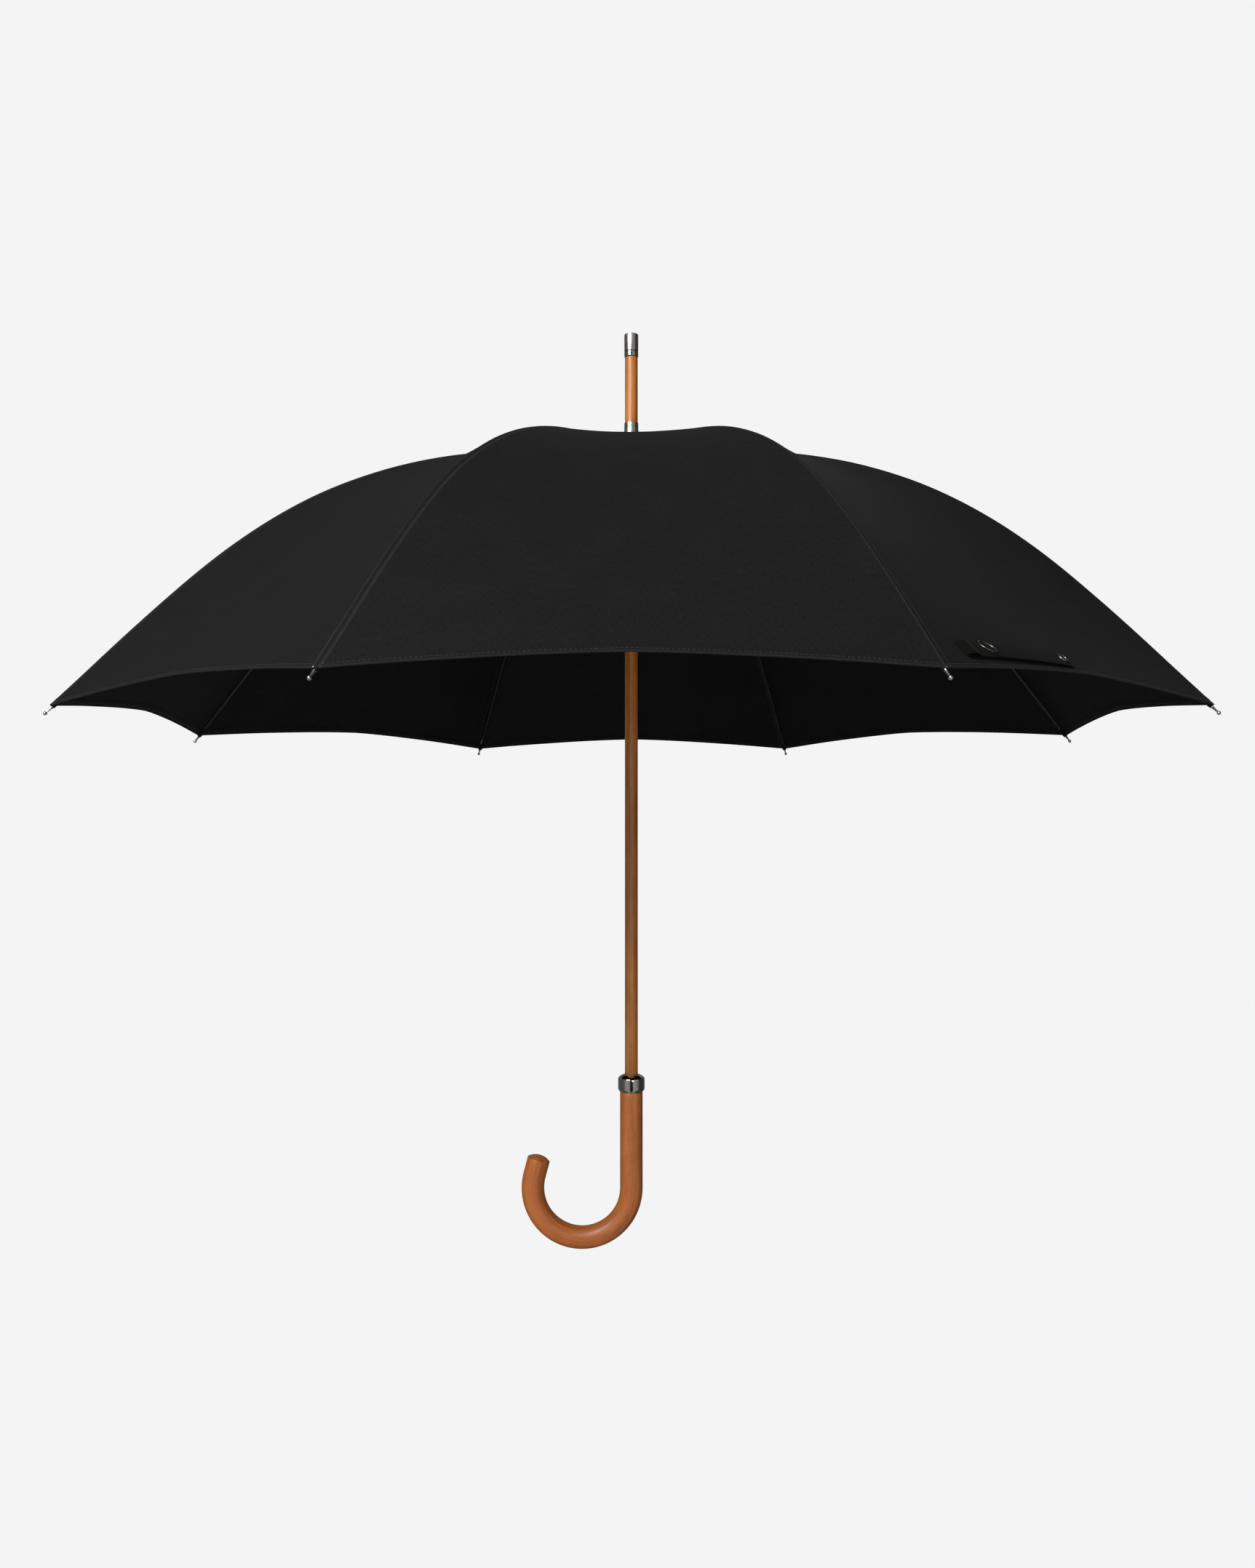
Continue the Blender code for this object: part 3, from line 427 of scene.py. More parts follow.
def tube(name, points, radii, sides):
    """A round bar along points, each with its own radius. Its grain runs as if the bar were straight."""
    points = [Vector(point) for point in points]
    form = bmesh.new()
    rings, grain = [], []
    length = 0.0
    tangent = (points[1] - points[0]).normalized()
    normal = tangent.orthogonal().normalized()
    for i, point in enumerate(points):
        ahead = points[min(i + 1, len(points) - 1)] - points[max(i - 1, 0)]
        turn = tangent.rotation_difference(ahead.normalized())
        normal = turn @ normal
        tangent = ahead.normalized()
        side = tangent.cross(normal)
        length += (point - points[i - 1]).length if i else 0.0
        ring = []
        for step in range(sides):
            angle = 2 * math.pi * step / sides
            spoke = math.cos(angle) * normal + math.sin(angle) * side
            ring.append(form.verts.new(point + radii[i] * spoke))
            grain.append((radii[i] * math.cos(angle), radii[i] * math.sin(angle), length))
        rings.append(ring)
    for first, second in zip(rings, rings[1:]):
        for step in range(sides):
            ahead = (step + 1) % sides
            form.faces.new((first[step], first[ahead], second[ahead], second[step]))
    form.faces.new(rings[0][::-1])
    form.faces.new(rings[-1])
    bmesh.ops.recalc_face_normals(form, faces=form.faces)
    mesh = bpy.data.meshes.new(name)
    form.to_mesh(mesh)
    form.free()
    grain_from(mesh, grain)
    smooth(mesh)
    return mesh


def joined(name, meshes, indices=None):
    """Several meshes as one, each with its own material index."""
    form = bmesh.new()
    for number, mesh in enumerate(meshes):
        start = len(form.faces)
        form.from_mesh(mesh)
        form.faces.ensure_lookup_table()
        for face in form.faces[start:]:
            face.material_index = indices[number] if indices else 0
    made = bpy.data.meshes.new(name)
    form.to_mesh(made)
    form.free()
    return made


def cut(mesh, cutters):
    """The mesh with the cutters' boxes or bars taken out of it."""
    holder = bpy.data.objects.new("cut", mesh)
    bpy.context.scene.collection.objects.link(holder)
    tool = bpy.data.objects.new("tool", joined("tool", cutters))
    bpy.context.scene.collection.objects.link(tool)
    modifier = holder.modifiers.new("cut", "BOOLEAN")
    modifier.operation = "DIFFERENCE"
    modifier.solver = "EXACT"
    modifier.object = tool
    bpy.context.view_layer.update()
    made = bpy.data.meshes.new_from_object(holder.evaluated_get(bpy.context.evaluated_depsgraph_get()))
    bpy.data.objects.remove(holder)
    bpy.data.objects.remove(tool)
    return made


def block(lowest, highest):
    form = bmesh.new()
    bmesh.ops.create_cube(form, size=1.0)
    size = Vector(highest) - Vector(lowest)
    middle = (Vector(highest) + Vector(lowest)) / 2
    place = Matrix.Translation(middle) @ Matrix.Diagonal((*size, 1.0))
    bmesh.ops.transform(form, matrix=place, verts=form.verts)
    mesh = bpy.data.meshes.new("block")
    form.to_mesh(mesh)
    form.free()
    return mesh


def rib_frame(number):
    return Matrix.Rotation(FIRST_RIB + (number - 1) * 2 * HALF_GORE, 4, "Z")


# The canopy's shape, on arrays. s runs from 0 at the crown to 1 at the hem.
# t runs from 0 on the gore's centre line to 1


def rib_curve(s):
    """Points of the canopy's outer face over a rib as (radius, height), and the inward normals there."""
    a, b, c, d = RIB_CURVE
    s = np.asarray(s, float)[..., None]
    point = (1 - s) ** 3 * a + 3 * (1 - s) ** 2 * s * b + 3 * (1 - s) * s**2 * c + s**3 * d
    slope = (1 - s) ** 2 * (b - a) + 2 * (1 - s) * s * (c - b) + s**2 * (d - c)
    slope = slope / np.linalg.norm(slope, axis=-1, keepdims=True)
    return point, np.stack([slope[..., 1], -slope[..., 0]], -1)


def gore(side, s, t, lift=0.0):
    """Points of a half gore's face in its rib's frame, raised off the CAD's outer face by lift."""
    s, t = np.broadcast_arrays(np.asarray(s, float), np.asarray(t, float))
    along = s * (HEM_AT_RIB - HEM_RISE * (1 - np.abs(t) ** HEM_ROUND))
    point, inward = rib_curve(along)
    width = 2 * point[..., 0] * math.sin(HALF_GORE)
    sag = width**2 / SPAN_RADIUS * (SAG[0] + SAG[1] * along + SAG[2] * along**2) * (1 - t**2)
    out = point[..., 0] * math.cos(HALF_GORE) + inward[..., 0] * (sag - lift)
    height = point[..., 1] + inward[..., 1] * (sag - lift)
    across = point[..., 0] * math.sin(HALF_GORE) * t
    x = out * math.cos(HALF_GORE) + across * math.sin(HALF_GORE)
    y = side * (out * math.sin(HALF_GORE) - across * math.cos(HALF_GORE))
    return np.stack([x, y, height + BALL_PLANE], -1)


def half_width(s):
    return rib_curve(s * HEM_AT_RIB)[0][..., 0] * math.sin(HALF_GORE)


HEM_STEP = float(np.linalg.norm(gore(1, 1.0, 0.5) - gore(1, 0.99, 0.5))) / 0.01


def bell(value, middle, width):
    return np.exp(-(((value - middle) / width) ** 2))


def relief(number, side, s, t, inner):
    """How far the visible face stands off the CAD's outer face: corner, seam, hem fold and a faint ripple."""
    from_rib = (1 - t) * half_width(s)
    from_hem = (1 - s) * HEM_STEP
    lift = CORNER_LIFT * np.clip((s - LIFT_FROM) / (1 - LIFT_FROM), 0, None) * np.abs(t) ** 4
    fade = np.clip(s / 0.08, 0, 1)
    pull = -0.00035 * bell(from_rib, 0.0, 0.0007)
    if side > 0:
        flat = 1 / (1 + np.exp(np.clip((from_rib - SEAM_WIDTH) / 0.00022, -40, 40)))
        pull = pull + SEAM_RAISE * flat - 0.0001 * bell(from_rib, SEAM_WIDTH, 0.0008)
    lift = lift + pull * fade
    fold = 1 / (1 + np.exp(np.clip((from_hem - HEM_DEPTH) / 0.00025, -40, 40)))
    if inner:
        lift = lift - CLOTH_THICK - (HEM_THICK - CLOTH_THICK) * fold
        lift = lift + 0.0002 * bell(from_hem, HEM_STITCH_AT, 0.0006)
    else:
        lift = lift - 0.00022 * bell(from_hem, HEM_STITCH_AT, 0.0007) + 0.00012 * fold
    places = (gore(side, s, t) @ np.array(rib_frame(number).to_3x3()).T).reshape(-1, 3) / RIPPLE_SIZE
    ripple = np.array([noise.noise(Vector(place)) for place in places]).reshape(np.shape(lift))
    return lift + RIPPLE * ripple * np.clip(s / 0.2, 0, 1)


def painted_seam_highlight_hem_edge(side, s, t):
    """How much lighter the cloth is painted: a painted highlight along the seam's folded edge, and a lighter
    line along the hem's edge.
    """
    from_rib = (1 - t) * half_width(s)
    from_hem = (1 - s) * HEM_STEP
    seam = bell(from_rib, SEAM_WIDTH if side > 0 else 0.0004, 0.0006)
    return np.clip(0.55 * seam * (s > 0.1) + 0.35 * bell(from_hem, 0.0, 0.0009), 0, 1)


def face(number, side, s, t, inner):
    return gore(side, s, t, relief(number, side, s, t, inner))


def split_row(t):
    """Where a half gore crosses the plane of its rib's joint, as a share of the way to the hem."""
    near, far = np.zeros_like(t), np.ones_like(t)
    for _ in range(30):
        middle = (near + far) / 2
        inside = gore(1, middle, t)[..., 0] < JOINT_RADIUS
        near = np.where(inside, middle, near)
        far = np.where(inside, far, middle)
    return near


def rows_and_columns(part):
    """The grid of (s, t) that part of a half gore is made on, closer by the seam, the hem and its edges."""
    spots = np.array([0.0, 0.0005, 0.0012, 0.0026, *(SEAM_WIDTH + np.array(SEAM_COLUMNS))])
    even = np.linspace(1.0, 0.0, GORE_COLUMNS + 1)[1:]
    seam_end = 0.10
    columns = np.concatenate([np.zeros(len(spots)), even * (1 - seam_end)])
    edge_t = np.concatenate([np.ones(len(spots)), columns[len(spots):]])
    border = split_row(edge_t)
    if part == "inner":
        shares = np.linspace(0.0, 1.0, INNER_ROWS + 1)
        s = shares[:, None] * border[None, :]
    else:
        hem = 1 - np.array(HEM_ROWS) / HEM_STEP
        shares = np.linspace(0.0, 1.0, OUTER_ROWS + 1)[1:-1, None]
        s = border[None, :] + shares * (hem[0] - border[None, :])
        under = border[None, :] + np.array(LAP)[:, None]
        s = np.vstack([under, s, np.repeat(hem[:, None], len(border), axis=1)])
    t = np.tile(edge_t, (len(s), 1))
    width = half_width(s)[:, : len(spots)]
    near = spots[None, :] / width
    shrink = np.minimum(1.0, seam_end * 0.9 / (spots[-1] / width))
    t[:, : len(spots)] = 1 - near * shrink
    return s, t


def grid_faces(rows, columns, start, flip):
    faces = []
    for row in range(rows - 1):
        for column in range(columns - 1):
            a = start + row * columns + column
            quad = (a, a + 1, a + columns + 1, a + columns)
            faces.append(quad[::-1] if flip else quad)
    return faces


def rim_faces(rows, columns, layer):
    """Faces that close the outer face to the inner one, along all four edges."""
    ring = [column for column in range(columns)]
    ring += [row * columns + columns - 1 for row in range(1, rows)]
    ring += [(rows - 1) * columns + column for column in range(columns - 2, -1, -1)]
    ring += [row * columns for row in range(rows - 2, 0, -1)]
    return [(a, b, b + layer, a + layer) for a, b in zip(ring, ring[1:] + ring[:1])]


def stitches(number, side, inner):
    """The hem's thread: short spindles laid end to end along the stitch line."""
    row = 1 - HEM_STITCH_AT / HEM_STEP
    line = gore(side, row, np.linspace(0.985, 0.0, 200))
    lengths = np.concatenate([[0.0], np.cumsum(np.linalg.norm(np.diff(line, axis=0), axis=1))])
    total = lengths[-1]
    count = int(total / STITCH_PITCH)
    form = bmesh.new()
    off = (-1 if inner else 1) * 0.00005
    for index in range(count):
        middle = (index + 0.5) * total / count
        rings = []
        for share, size in ((-1.0, 0.35), (-0.55, 1.0), (0.55, 1.0), (1.0, 0.35)):
            reach = middle + share * STITCH_LENGTH / 2
            t = np.interp(reach, lengths, np.linspace(0.985, 0.0, 200))
            dip = off * (1 if abs(share) < 1 else -2)
            lift = float(relief(number, side, np.array([row]), np.array([t]), inner)[0]) + dip
            lifts = (lift, lift, lift + 0.001)
            here, ahead, above = gore(side, row, np.array([t, t - 0.002, t]), np.array(lifts))
            up = Vector(above - here).normalized()
            go = Vector(ahead - here).normalized()
            wide = go.cross(up)
            radius = STITCH_RADIUS * size
            corners = ((1, 0), (0, 1), (-1, 0), (0, -1))
            rings.append([form.verts.new(Vector(here) + radius * (a * wide + b * up)) for a, b in corners])
        for first, second in zip(rings, rings[1:]):
            for step in range(4):
                ahead = (step + 1) % 4
                form.faces.new((first[step], first[ahead], second[ahead], second[step]))
        form.faces.new(rings[0][::-1])
        form.faces.new(rings[-1])
    bmesh.ops.recalc_face_normals(form, faces=form.faces)
    mesh = bpy.data.meshes.new("stitches")
    form.to_mesh(mesh)
    form.free()
    return mesh


def cloth_mesh(name, number, side, part):
    """Half a gore between two of its edges: a thin closed sheet, its exact normals and its flat size."""
    s, t = rows_and_columns(part)
    rows, columns = s.shape
    layers, normals = [], []
    tiny = 0.0008
    for inner in (False, True):
        points = face(number, side, s, t, inner)
        along = face(number, side, s + tiny, t, inner) - face(number, side, s - tiny, t, inner)
        across = face(number, side, s, t + tiny, inner) - face(number, side, s, t - tiny, inner)
        normal = np.cross(along, across) * -side
        normal /= np.linalg.norm(normal, axis=-1, keepdims=True)
        if part == "inner":
            points[0, :, :2] *= CLOTH_HOLE / CROWN_RADIUS
            normal[0] = (0, 0, 1)
        else:
            points[:2] -= normal[:2] * TUCK
        layers.append(points.reshape(-1, 3))
        normals.append((-normal if inner else normal).reshape(-1, 3))
    count = rows * columns
    faces = grid_faces(rows, columns, 0, side > 0) + grid_faces(rows, columns, count, side < 0)
    surface = len(faces)
    faces += [quad if side > 0 else quad[::-1] for quad in rim_faces(rows, columns, count)]
    mesh = bpy.data.meshes.new(name)
    mesh.from_pydata(np.vstack(layers).tolist(), [], faces)
    length = np.linalg.norm(gore(side, 1.0, 0.5) - gore(side, 0.0, 0.5))
    u = side * t * half_width(s)
    v = s * (float(length) * WEAVE_ALONG)
    cloth = np.stack([u, v, np.zeros_like(u)], -1).reshape(-1, 3)
    grain_from(mesh, np.vstack([cloth, cloth + (0.0, 0.0, 1.0)]), "cloth")
    # Where the cloth is painted lighter: a painted highlight along the rib seams, and a lighter line along
    # the hem's edge.
    seam_highlight_hem_edge = mesh.attributes.new("seam_highlight_hem_edge", "FLOAT", "POINT")
    seam_highlight_hem_edge.data.foreach_set("value", np.tile(painted_seam_highlight_hem_edge(side, s, t).ravel(), 2))
    matrix = rib_frame(number)
    turn = np.array(matrix.to_3x3())
    mesh.transform(matrix)
    mesh.polygons.foreach_set("use_smooth", [True] * len(mesh.polygons))
    corner_normals = (np.vstack(normals) @ turn.T)[[loop.vertex_index for loop in mesh.loops]]
    for polygon in mesh.polygons[surface:]:
        for loop in polygon.loop_indices:
            corner_normals[loop] = polygon.normal
    flat = flat_size(layers[0].reshape(rows, columns, 3))
    return mesh, corner_normals, flat


def flat_size(points):
    """A grid's area, its greatest width and its length along the middle, as if it were laid flat."""
    down = np.diff(points, axis=0)
    over = np.diff(points, axis=1)
    area = float(np.linalg.norm(np.cross(down[:, :-1], over[:-1]), axis=-1).sum())
    width = float(np.linalg.norm(over, axis=-1).sum(axis=1).max())
    length = float(np.linalg.norm(down, axis=-1).sum(axis=0).max())
    return area, width, length


def fold_line(number, side, part):
    """The axis and the anchor of a half gore's fold: it lies down on its rib, tilted out from the shaft."""
    border = float(split_row(np.array([1.0]))[0])
    span = np.linspace(0.0, border, 30) if part == "inner" else np.linspace(border, 1.0, 30)
    edge = gore(side, span, 1.0)
    chord = edge[-1] - edge[0]
    chord /= np.linalg.norm(chord)
    out = np.array([-chord[2], 0.0, chord[0]])
    axis = np.array([0.0, side * math.cos(FOLD_TILT), 0.0]) - math.sin(FOLD_TILT) * out
    bulge = (edge - edge[0]) @ out
    anchor = edge[0] + out * bulge.min()
    matrix = rib_frame(number)
    return tuple(matrix.to_3x3() @ Vector(axis)), tuple(matrix @ Vector(anchor))


def fold(obj, number, side, part):
    axis, anchor = fold_line(number, side, part)
    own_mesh(obj)


def canopy():
    for number in range(1, RIBS + 1):
        for side in (-1, 1):
            for part in ("inner", "outer"):
                name = f"cloth_{part}_{number}{'a' if side < 0 else 'b'}"
                mesh, normals, (area, width, length) = cloth_mesh(name, number, side, part)
                body = f"rib_{number}" if part == "inner" else f"rod_{number}"
                mesh.normals_split_custom_set(normals.tolist())
                sheet = piece(name, mesh, body, [CLOTH], [f"canopy_{number}"])
                fold(sheet, number, side, part)
            hem_thread(number, side)


def hem_thread(number, side):
    mesh = joined("hem", [stitches(number, side, False), stitches(number, side, True)])
    mesh.transform(rib_frame(number))
    name = f"hem_thread_{number}{'a' if side < 0 else 'b'}"
    thread = piece(name, mesh, f"rod_{number}", [THREAD])
    fold(thread, number, side, "outer")


def crown_washer():
    """The cloth washer under the canopy's crown, in eight wedges that turn down with their ribs."""
    lowest, highest = low("crown_washer"), high("crown_washer")
    radii = np.linspace(WASHER_BORE, highest.x - 0.0001, 7)
    angles = np.linspace(-HALF_GORE, HALF_GORE, 13)
    for number in range(1, RIBS + 1):
        mesh = washer_wedge(radii, angles, lowest.z, highest.z)
        mesh.transform(rib_frame(number))
        name = f"crown_washer_{number}"
        wedge = piece(name, mesh, f"rib_{number}", [CLOTH], ["crown_washer"])


def washer_wedge(radii, angles, floor, top):
    rows, columns = len(radii), len(angles)
    places = [(r * math.cos(a), r * math.sin(a)) for r in radii for a in angles]
    layers = [(x, y, z) for z in (top, floor) for x, y in places]
    count = rows * columns
    faces = grid_faces(rows, columns, 0, True) + grid_faces(rows, columns, count, False)
    faces += [quad[::-1] for quad in rim_faces(rows, columns, count)]
    mesh = bpy.data.meshes.new("wedge")
    mesh.from_pydata(layers, [], faces)
    form = bmesh.new()
    form.from_mesh(mesh)
    bmesh.ops.recalc_face_normals(form, faces=form.faces)
    form.to_mesh(mesh)
    form.free()
    grain_from(mesh, layers, "cloth")
    smooth(mesh)
    return mesh


# Rib ends


def rib_line(s):
    share = max(0.0, (s - LIFT_FROM) / (1 - LIFT_FROM))
    point, inward = rib_curve(s)
    x, z = point + inward * (RIB_DROP + share * (BALL_DROP - RIB_DROP))
    return Vector((x, 0.0, z + BALL_PLANE))


def tip_frame():
    """Origin at the ball's centre and +Z out along the rib, in the rib's frame."""
    centre = rib_line(1.0)
    direction = centre - rib_line(0.97)
    return Matrix.Translation(centre) @ direction.to_track_quat("Z", "Y").to_matrix().to_4x4()


def ball_tip(number):
    """A turned tip: a ball with a small flat, a waisted neck, a cone, a rolled rim and the thread's eye."""
    angles = [math.radians(degrees) for degrees in range(14, 155, 10)]
    ball = [(0.0017 * math.sin(a), 0.0017 * math.cos(a)) for a in angles]
    cone = rounded(
        [
            (0.00074, -0.0021, 0.0002),
            (0.00080, -0.0030, 0.0006),
            (0.00118, -0.0070, 0.0006),
            (0.00135, -0.0078, 0.0002),
            (0.00145, -0.0085, 0.0002),
            (0.00128, -0.0092, 0.0002),
        ],
        3,
    )
    line = [(0.0, 0.00165), *ball, *cone, (0.00098, -0.0092), (0.00098, -0.0070), (0.0, -0.0070)]
    place = rib_frame(number) @ tip_frame()
    body = lathe("tip", line, TIP_TURNS, place)
    eye_places = [(0.0013 * math.cos(a), 0.0, 0.0013 * math.sin(a)) for a in np.linspace(0, 2 * math.pi, 17)]
    eye = tube("eye", [Vector(p) * 0.62 for p in eye_places], [0.00024] * 17, 8)
    up = Matrix.Translation((0.0, 0.0017, -0.0086)) @ Matrix.Rotation(math.pi / 2, 4, "Z")
    eye.transform(place @ up)
    mesh = joined("tip", [body, eye])
    smooth(mesh)
    piece(f"tip_{number}", mesh, f"rod_{number}", [POLISHED], [f"ball_tip_{number}"])


def tip_pocket(number):
    """The cloth pocket sewn round the rib's end, with the thread that ties it to the tip."""
    place = rib_frame(number) @ tip_frame()
    line = rounded(
        [
            (0.00150, -0.0078, 0.0),
            (0.00205, -0.0082, 0.0003),
            (0.00225, -0.0105, 0.0010),
            (0.00200, -0.0140, 0.0010),
            (0.00145, -0.0170, 0.0003),
            (0.00125, -0.0168, 0.0),
        ]
    )
    pocket = lathe("pocket", line, TIP_TURNS)
    places = np.array([vertex.co[:] for vertex in pocket.vertices])
    pocket.transform(place @ Matrix.Diagonal((1.25, 0.95, 1.0, 1.0)))
    grain_from(pocket, places, "cloth")
    piece(f"tip_pocket_{number}", pocket, f"rod_{number}", [CLOTH])
    loops = []
    for shift in (-0.0004, 0.0, 0.00045):
        around = [
            (0.0017 * math.cos(a) + shift, 0.0019 * math.sin(a), shift - 0.0087 - 0.0003 * math.cos(2 * a))
            for a in np.linspace(0, 2 * math.pi, 21)
        ]
        loops.append(tube("loop", around, [0.00016] * 21, 6))
    thread = joined("thread", loops)
    thread.transform(place)
    smooth(thread)
    piece(f"tip_thread_{number}", thread, f"rod_{number}", [THREAD])


def rib_ties():
    """The thread that ties the cloth to each rib at two places."""
    for number in range(1, RIBS + 1):
        for s, body, suffix in ((0.45, "rod", "far"), (0.16, "rib", "near")):
            centre = rib_line(s * HEM_AT_RIB)
            ahead = rib_line(s * HEM_AT_RIB + 0.01) - centre
            place = Matrix.Translation(centre) @ ahead.to_track_quat("Z", "Y").to_matrix().to_4x4()
            loops = []
            for shift in (-0.0007, -0.0001, 0.0005):
                around = [
                    (0.00215 * math.cos(a), 0.00235 * math.sin(a) + 0.0005, shift)
                    for a in np.linspace(0, 2 * math.pi, 17)
                ]
                loops.append(tube("tie", around, [0.00018] * 17, 6))
            mesh = joined("ties", loops)
            mesh.transform(rib_frame(number) @ place)
            smooth(mesh)
            piece(f"rib_tie_{suffix}_{number}", mesh, f"{body}_{number}", [THREAD])


# The shaft and what is on it


def shaft():
    """The stick: turned in one length, with slots for the two springs and holes for the two pins."""
    top = high("shaft").z
    foot = low("shaft").z
    shoulder = low("ferrule_band").z - 0.0003
    radius = high("shaft").x
    spigot = 0.0050
    corners = [
        (0.0, top),
        (spigot, top, 0.0003),
        (spigot, shoulder),
        (radius, shoulder, 0.0002),
        (radius, foot, 0.0003),
        (0.0, foot),
    ]
    stick = lathe("shaft", rounded(corners, 2))
    cutters = []
    for spring in ("upper_catch_spring", "lower_catch_spring"):
        first, last = low(spring), high(spring)
        half = 0.0012
        cutters.append(block((-half, -0.0002, first.z - 0.0012), (half, 0.010, last.z + 0.0012)))
    for pin, axis in (("notch_pin", Vector((0, 0.02, 0))), ("stop_pin", Vector((0.02, 0, 0)))):
        centre = (low(pin) + high(pin)) / 2
        hole = tube("hole", [centre - axis, centre + axis], [0.0011, 0.0011], 16)
        cutters.append(hole)
    mesh = cut(stick, cutters)
    places = [vertex.co[:] for vertex in mesh.vertices]
    for attribute in [a for a in mesh.attributes if a.name == "grain"]:
        mesh.attributes.remove(attribute)
    grain_from(mesh, places)
    smooth(mesh, 30.0)
    piece("stick", mesh, "root", [SHAFT_WOOD], ["shaft"])


def ferrule():
    top, foot, radius = high("ferrule").z, low("ferrule").z, high("ferrule").x
    rim = [(0.0, top), (radius, top, 0.0007), (radius, foot, 0.0002), (radius - 0.0016, foot), (0.0, foot)]
    line = rounded(rim)
    piece("ferrule_cap", lathe("ferrule", line, closed=False), "root", [NICKEL], ["ferrule"])
    band_top, band_foot = high("ferrule_band").z, low("ferrule_band").z
    grooves = [
        (radius - 0.0019, band_top),
        (radius - 0.0004, band_top, 0.0002),
        (radius, band_top - 0.0006, 0.0002),
        (radius, band_foot + 0.0006, 0.0003),
        (radius - 0.0004, band_foot, 0.0002),
        (radius - 0.0019, band_foot),
    ]
    band = lathe("band", rounded(grooves, 3))
    piece("ferrule_ring", band, "root", [POLISHED], ["ferrule_band"])


def crown_cap():
    """The open cap: a bright neck that flares in one curve to the rolled edge that presses on the cloth."""
    top, foot = high("open_cap").z, low("open_cap").z
    foot_radius = high("open_cap").x
    neck = 0.00695
    wall = 0.0004
    flare = []
    steps = 14
    for step in range(steps + 1):
        share = step / steps
        height = top - 0.0046 - share * (top - 0.0046 - foot - 0.0008)
        flare.append((neck + (foot_radius - neck - 0.0002) * share**1.55, height))
    mouth = [(0.0067, top), (neck, top, 0.0003), (neck, top - 0.0042)]
    outer = rounded(mouth, 3) + [(neck - 0.0002, top - 0.0044)]
    rim = [(foot_radius, foot + 0.0006, 0.0003), (foot_radius, foot, 0.0002), (foot_radius - 0.0006, foot)]
    edge = rounded(rim, 3)
    inner = [(radius - wall, height) for radius, height in reversed(flare)]
    line = [*outer, *flare, *edge, *inner, (0.0067, top - 0.0042)]
    piece("crown_cap", lathe("cap", line), "root", [NICKEL], ["open_cap"])


def collar():
    """The handle's collar: a sloping top inside a rounded rim, straight sides and a turned-in foot."""
    top, foot, radius = high("handle_collar").z, low("handle_collar").z, high("handle_collar").x
    bore = 0.0066
    corners = [
        (bore, top - 0.0002, 0.0),
        (bore + 0.0018, top, 0.0004),
        (radius - 0.0016, top - 0.0016, 0.0010),
        (radius - 0.0002, top - 0.0031, 0.0009),
        (radius, top - 0.0046, 0.0008),
        (radius, foot + 0.0022, 0.0006),
        (radius - 0.0015, foot, 0.0004),
        (0.0098, foot, 0.0),
        (0.0098, top - 0.0042, 0.0),
        (bore, top - 0.0042, 0.0),
    ]
    ring = lathe("collar", rounded(corners, 5))
    piece("collar", ring, "root", [POLISHED], ["handle_collar"])


def handle():
    """The crook: a straight grip, a round hook and an end with a crisp rim and a low dome."""
    radius = high("handle").y
    shoulder = low("handle_collar").z - 0.0003
    crook = (-low("handle").x - radius) / 2
    grip_half = -(low("handle").z + crook + radius)
    sweep = HANDLE_SWEEP
    centre = Vector((-crook, 0, -grip_half))
    shares = np.linspace(0, 1, 13)[:-1]
    points = [Vector((0, 0, shoulder - share * (shoulder + grip_half))) for share in shares]
    radii = [radius] * 12
    radii[0] = radius - 0.0003
    points.insert(1, Vector((0, 0, shoulder - 0.0004)))
    radii.insert(1, radius)
    for angle in np.linspace(0, sweep, 72):
        points.append(centre + crook * Vector((math.cos(angle), 0, -math.sin(angle))))
        radii.append(radius)
    ahead = Vector((-math.sin(sweep), 0, -math.cos(sweep)))
    arc_end = points[-1]
    rim = 0.985 * radius
    ball = (rim**2 + HANDLE_DOME**2) / (2 * HANDLE_DOME)
    for share in (0.25, 0.5, 0.75, 0.97):
        points.append(arc_end + share * HANDLE_END * ahead)
        radii.append(radius)
    for lean in np.linspace(math.asin(rim / ball), 0.06, 12):
        reach = HANDLE_END + HANDLE_DOME - ball * (1 - math.cos(lean))
        points.append(arc_end + reach * ahead)
        radii.append(ball * math.sin(lean))
    mesh = tube("handle", points, radii, 48)
    smooth(mesh, 40.0)
    piece("crook_handle", mesh, "root", [HANDLE_WOOD], ["handle"])


# The tie strap


def on_gore(place, lift):
    """A frame on the canopy beside the first rib: +X along the hem to the rib, +Z off the cloth."""
    s, t = place
    here, ahead, below = (Vector(p) for p in gore(1, [s, s, s + 0.02], [t, t + 0.02, t], lift))
    x = (ahead - here).normalized()
    z = x.cross(below - here).normalized()
    turn = Matrix((x, z.cross(x), z)).transposed().to_4x4()
    return rib_frame(1) @ Matrix.Translation(here) @ turn


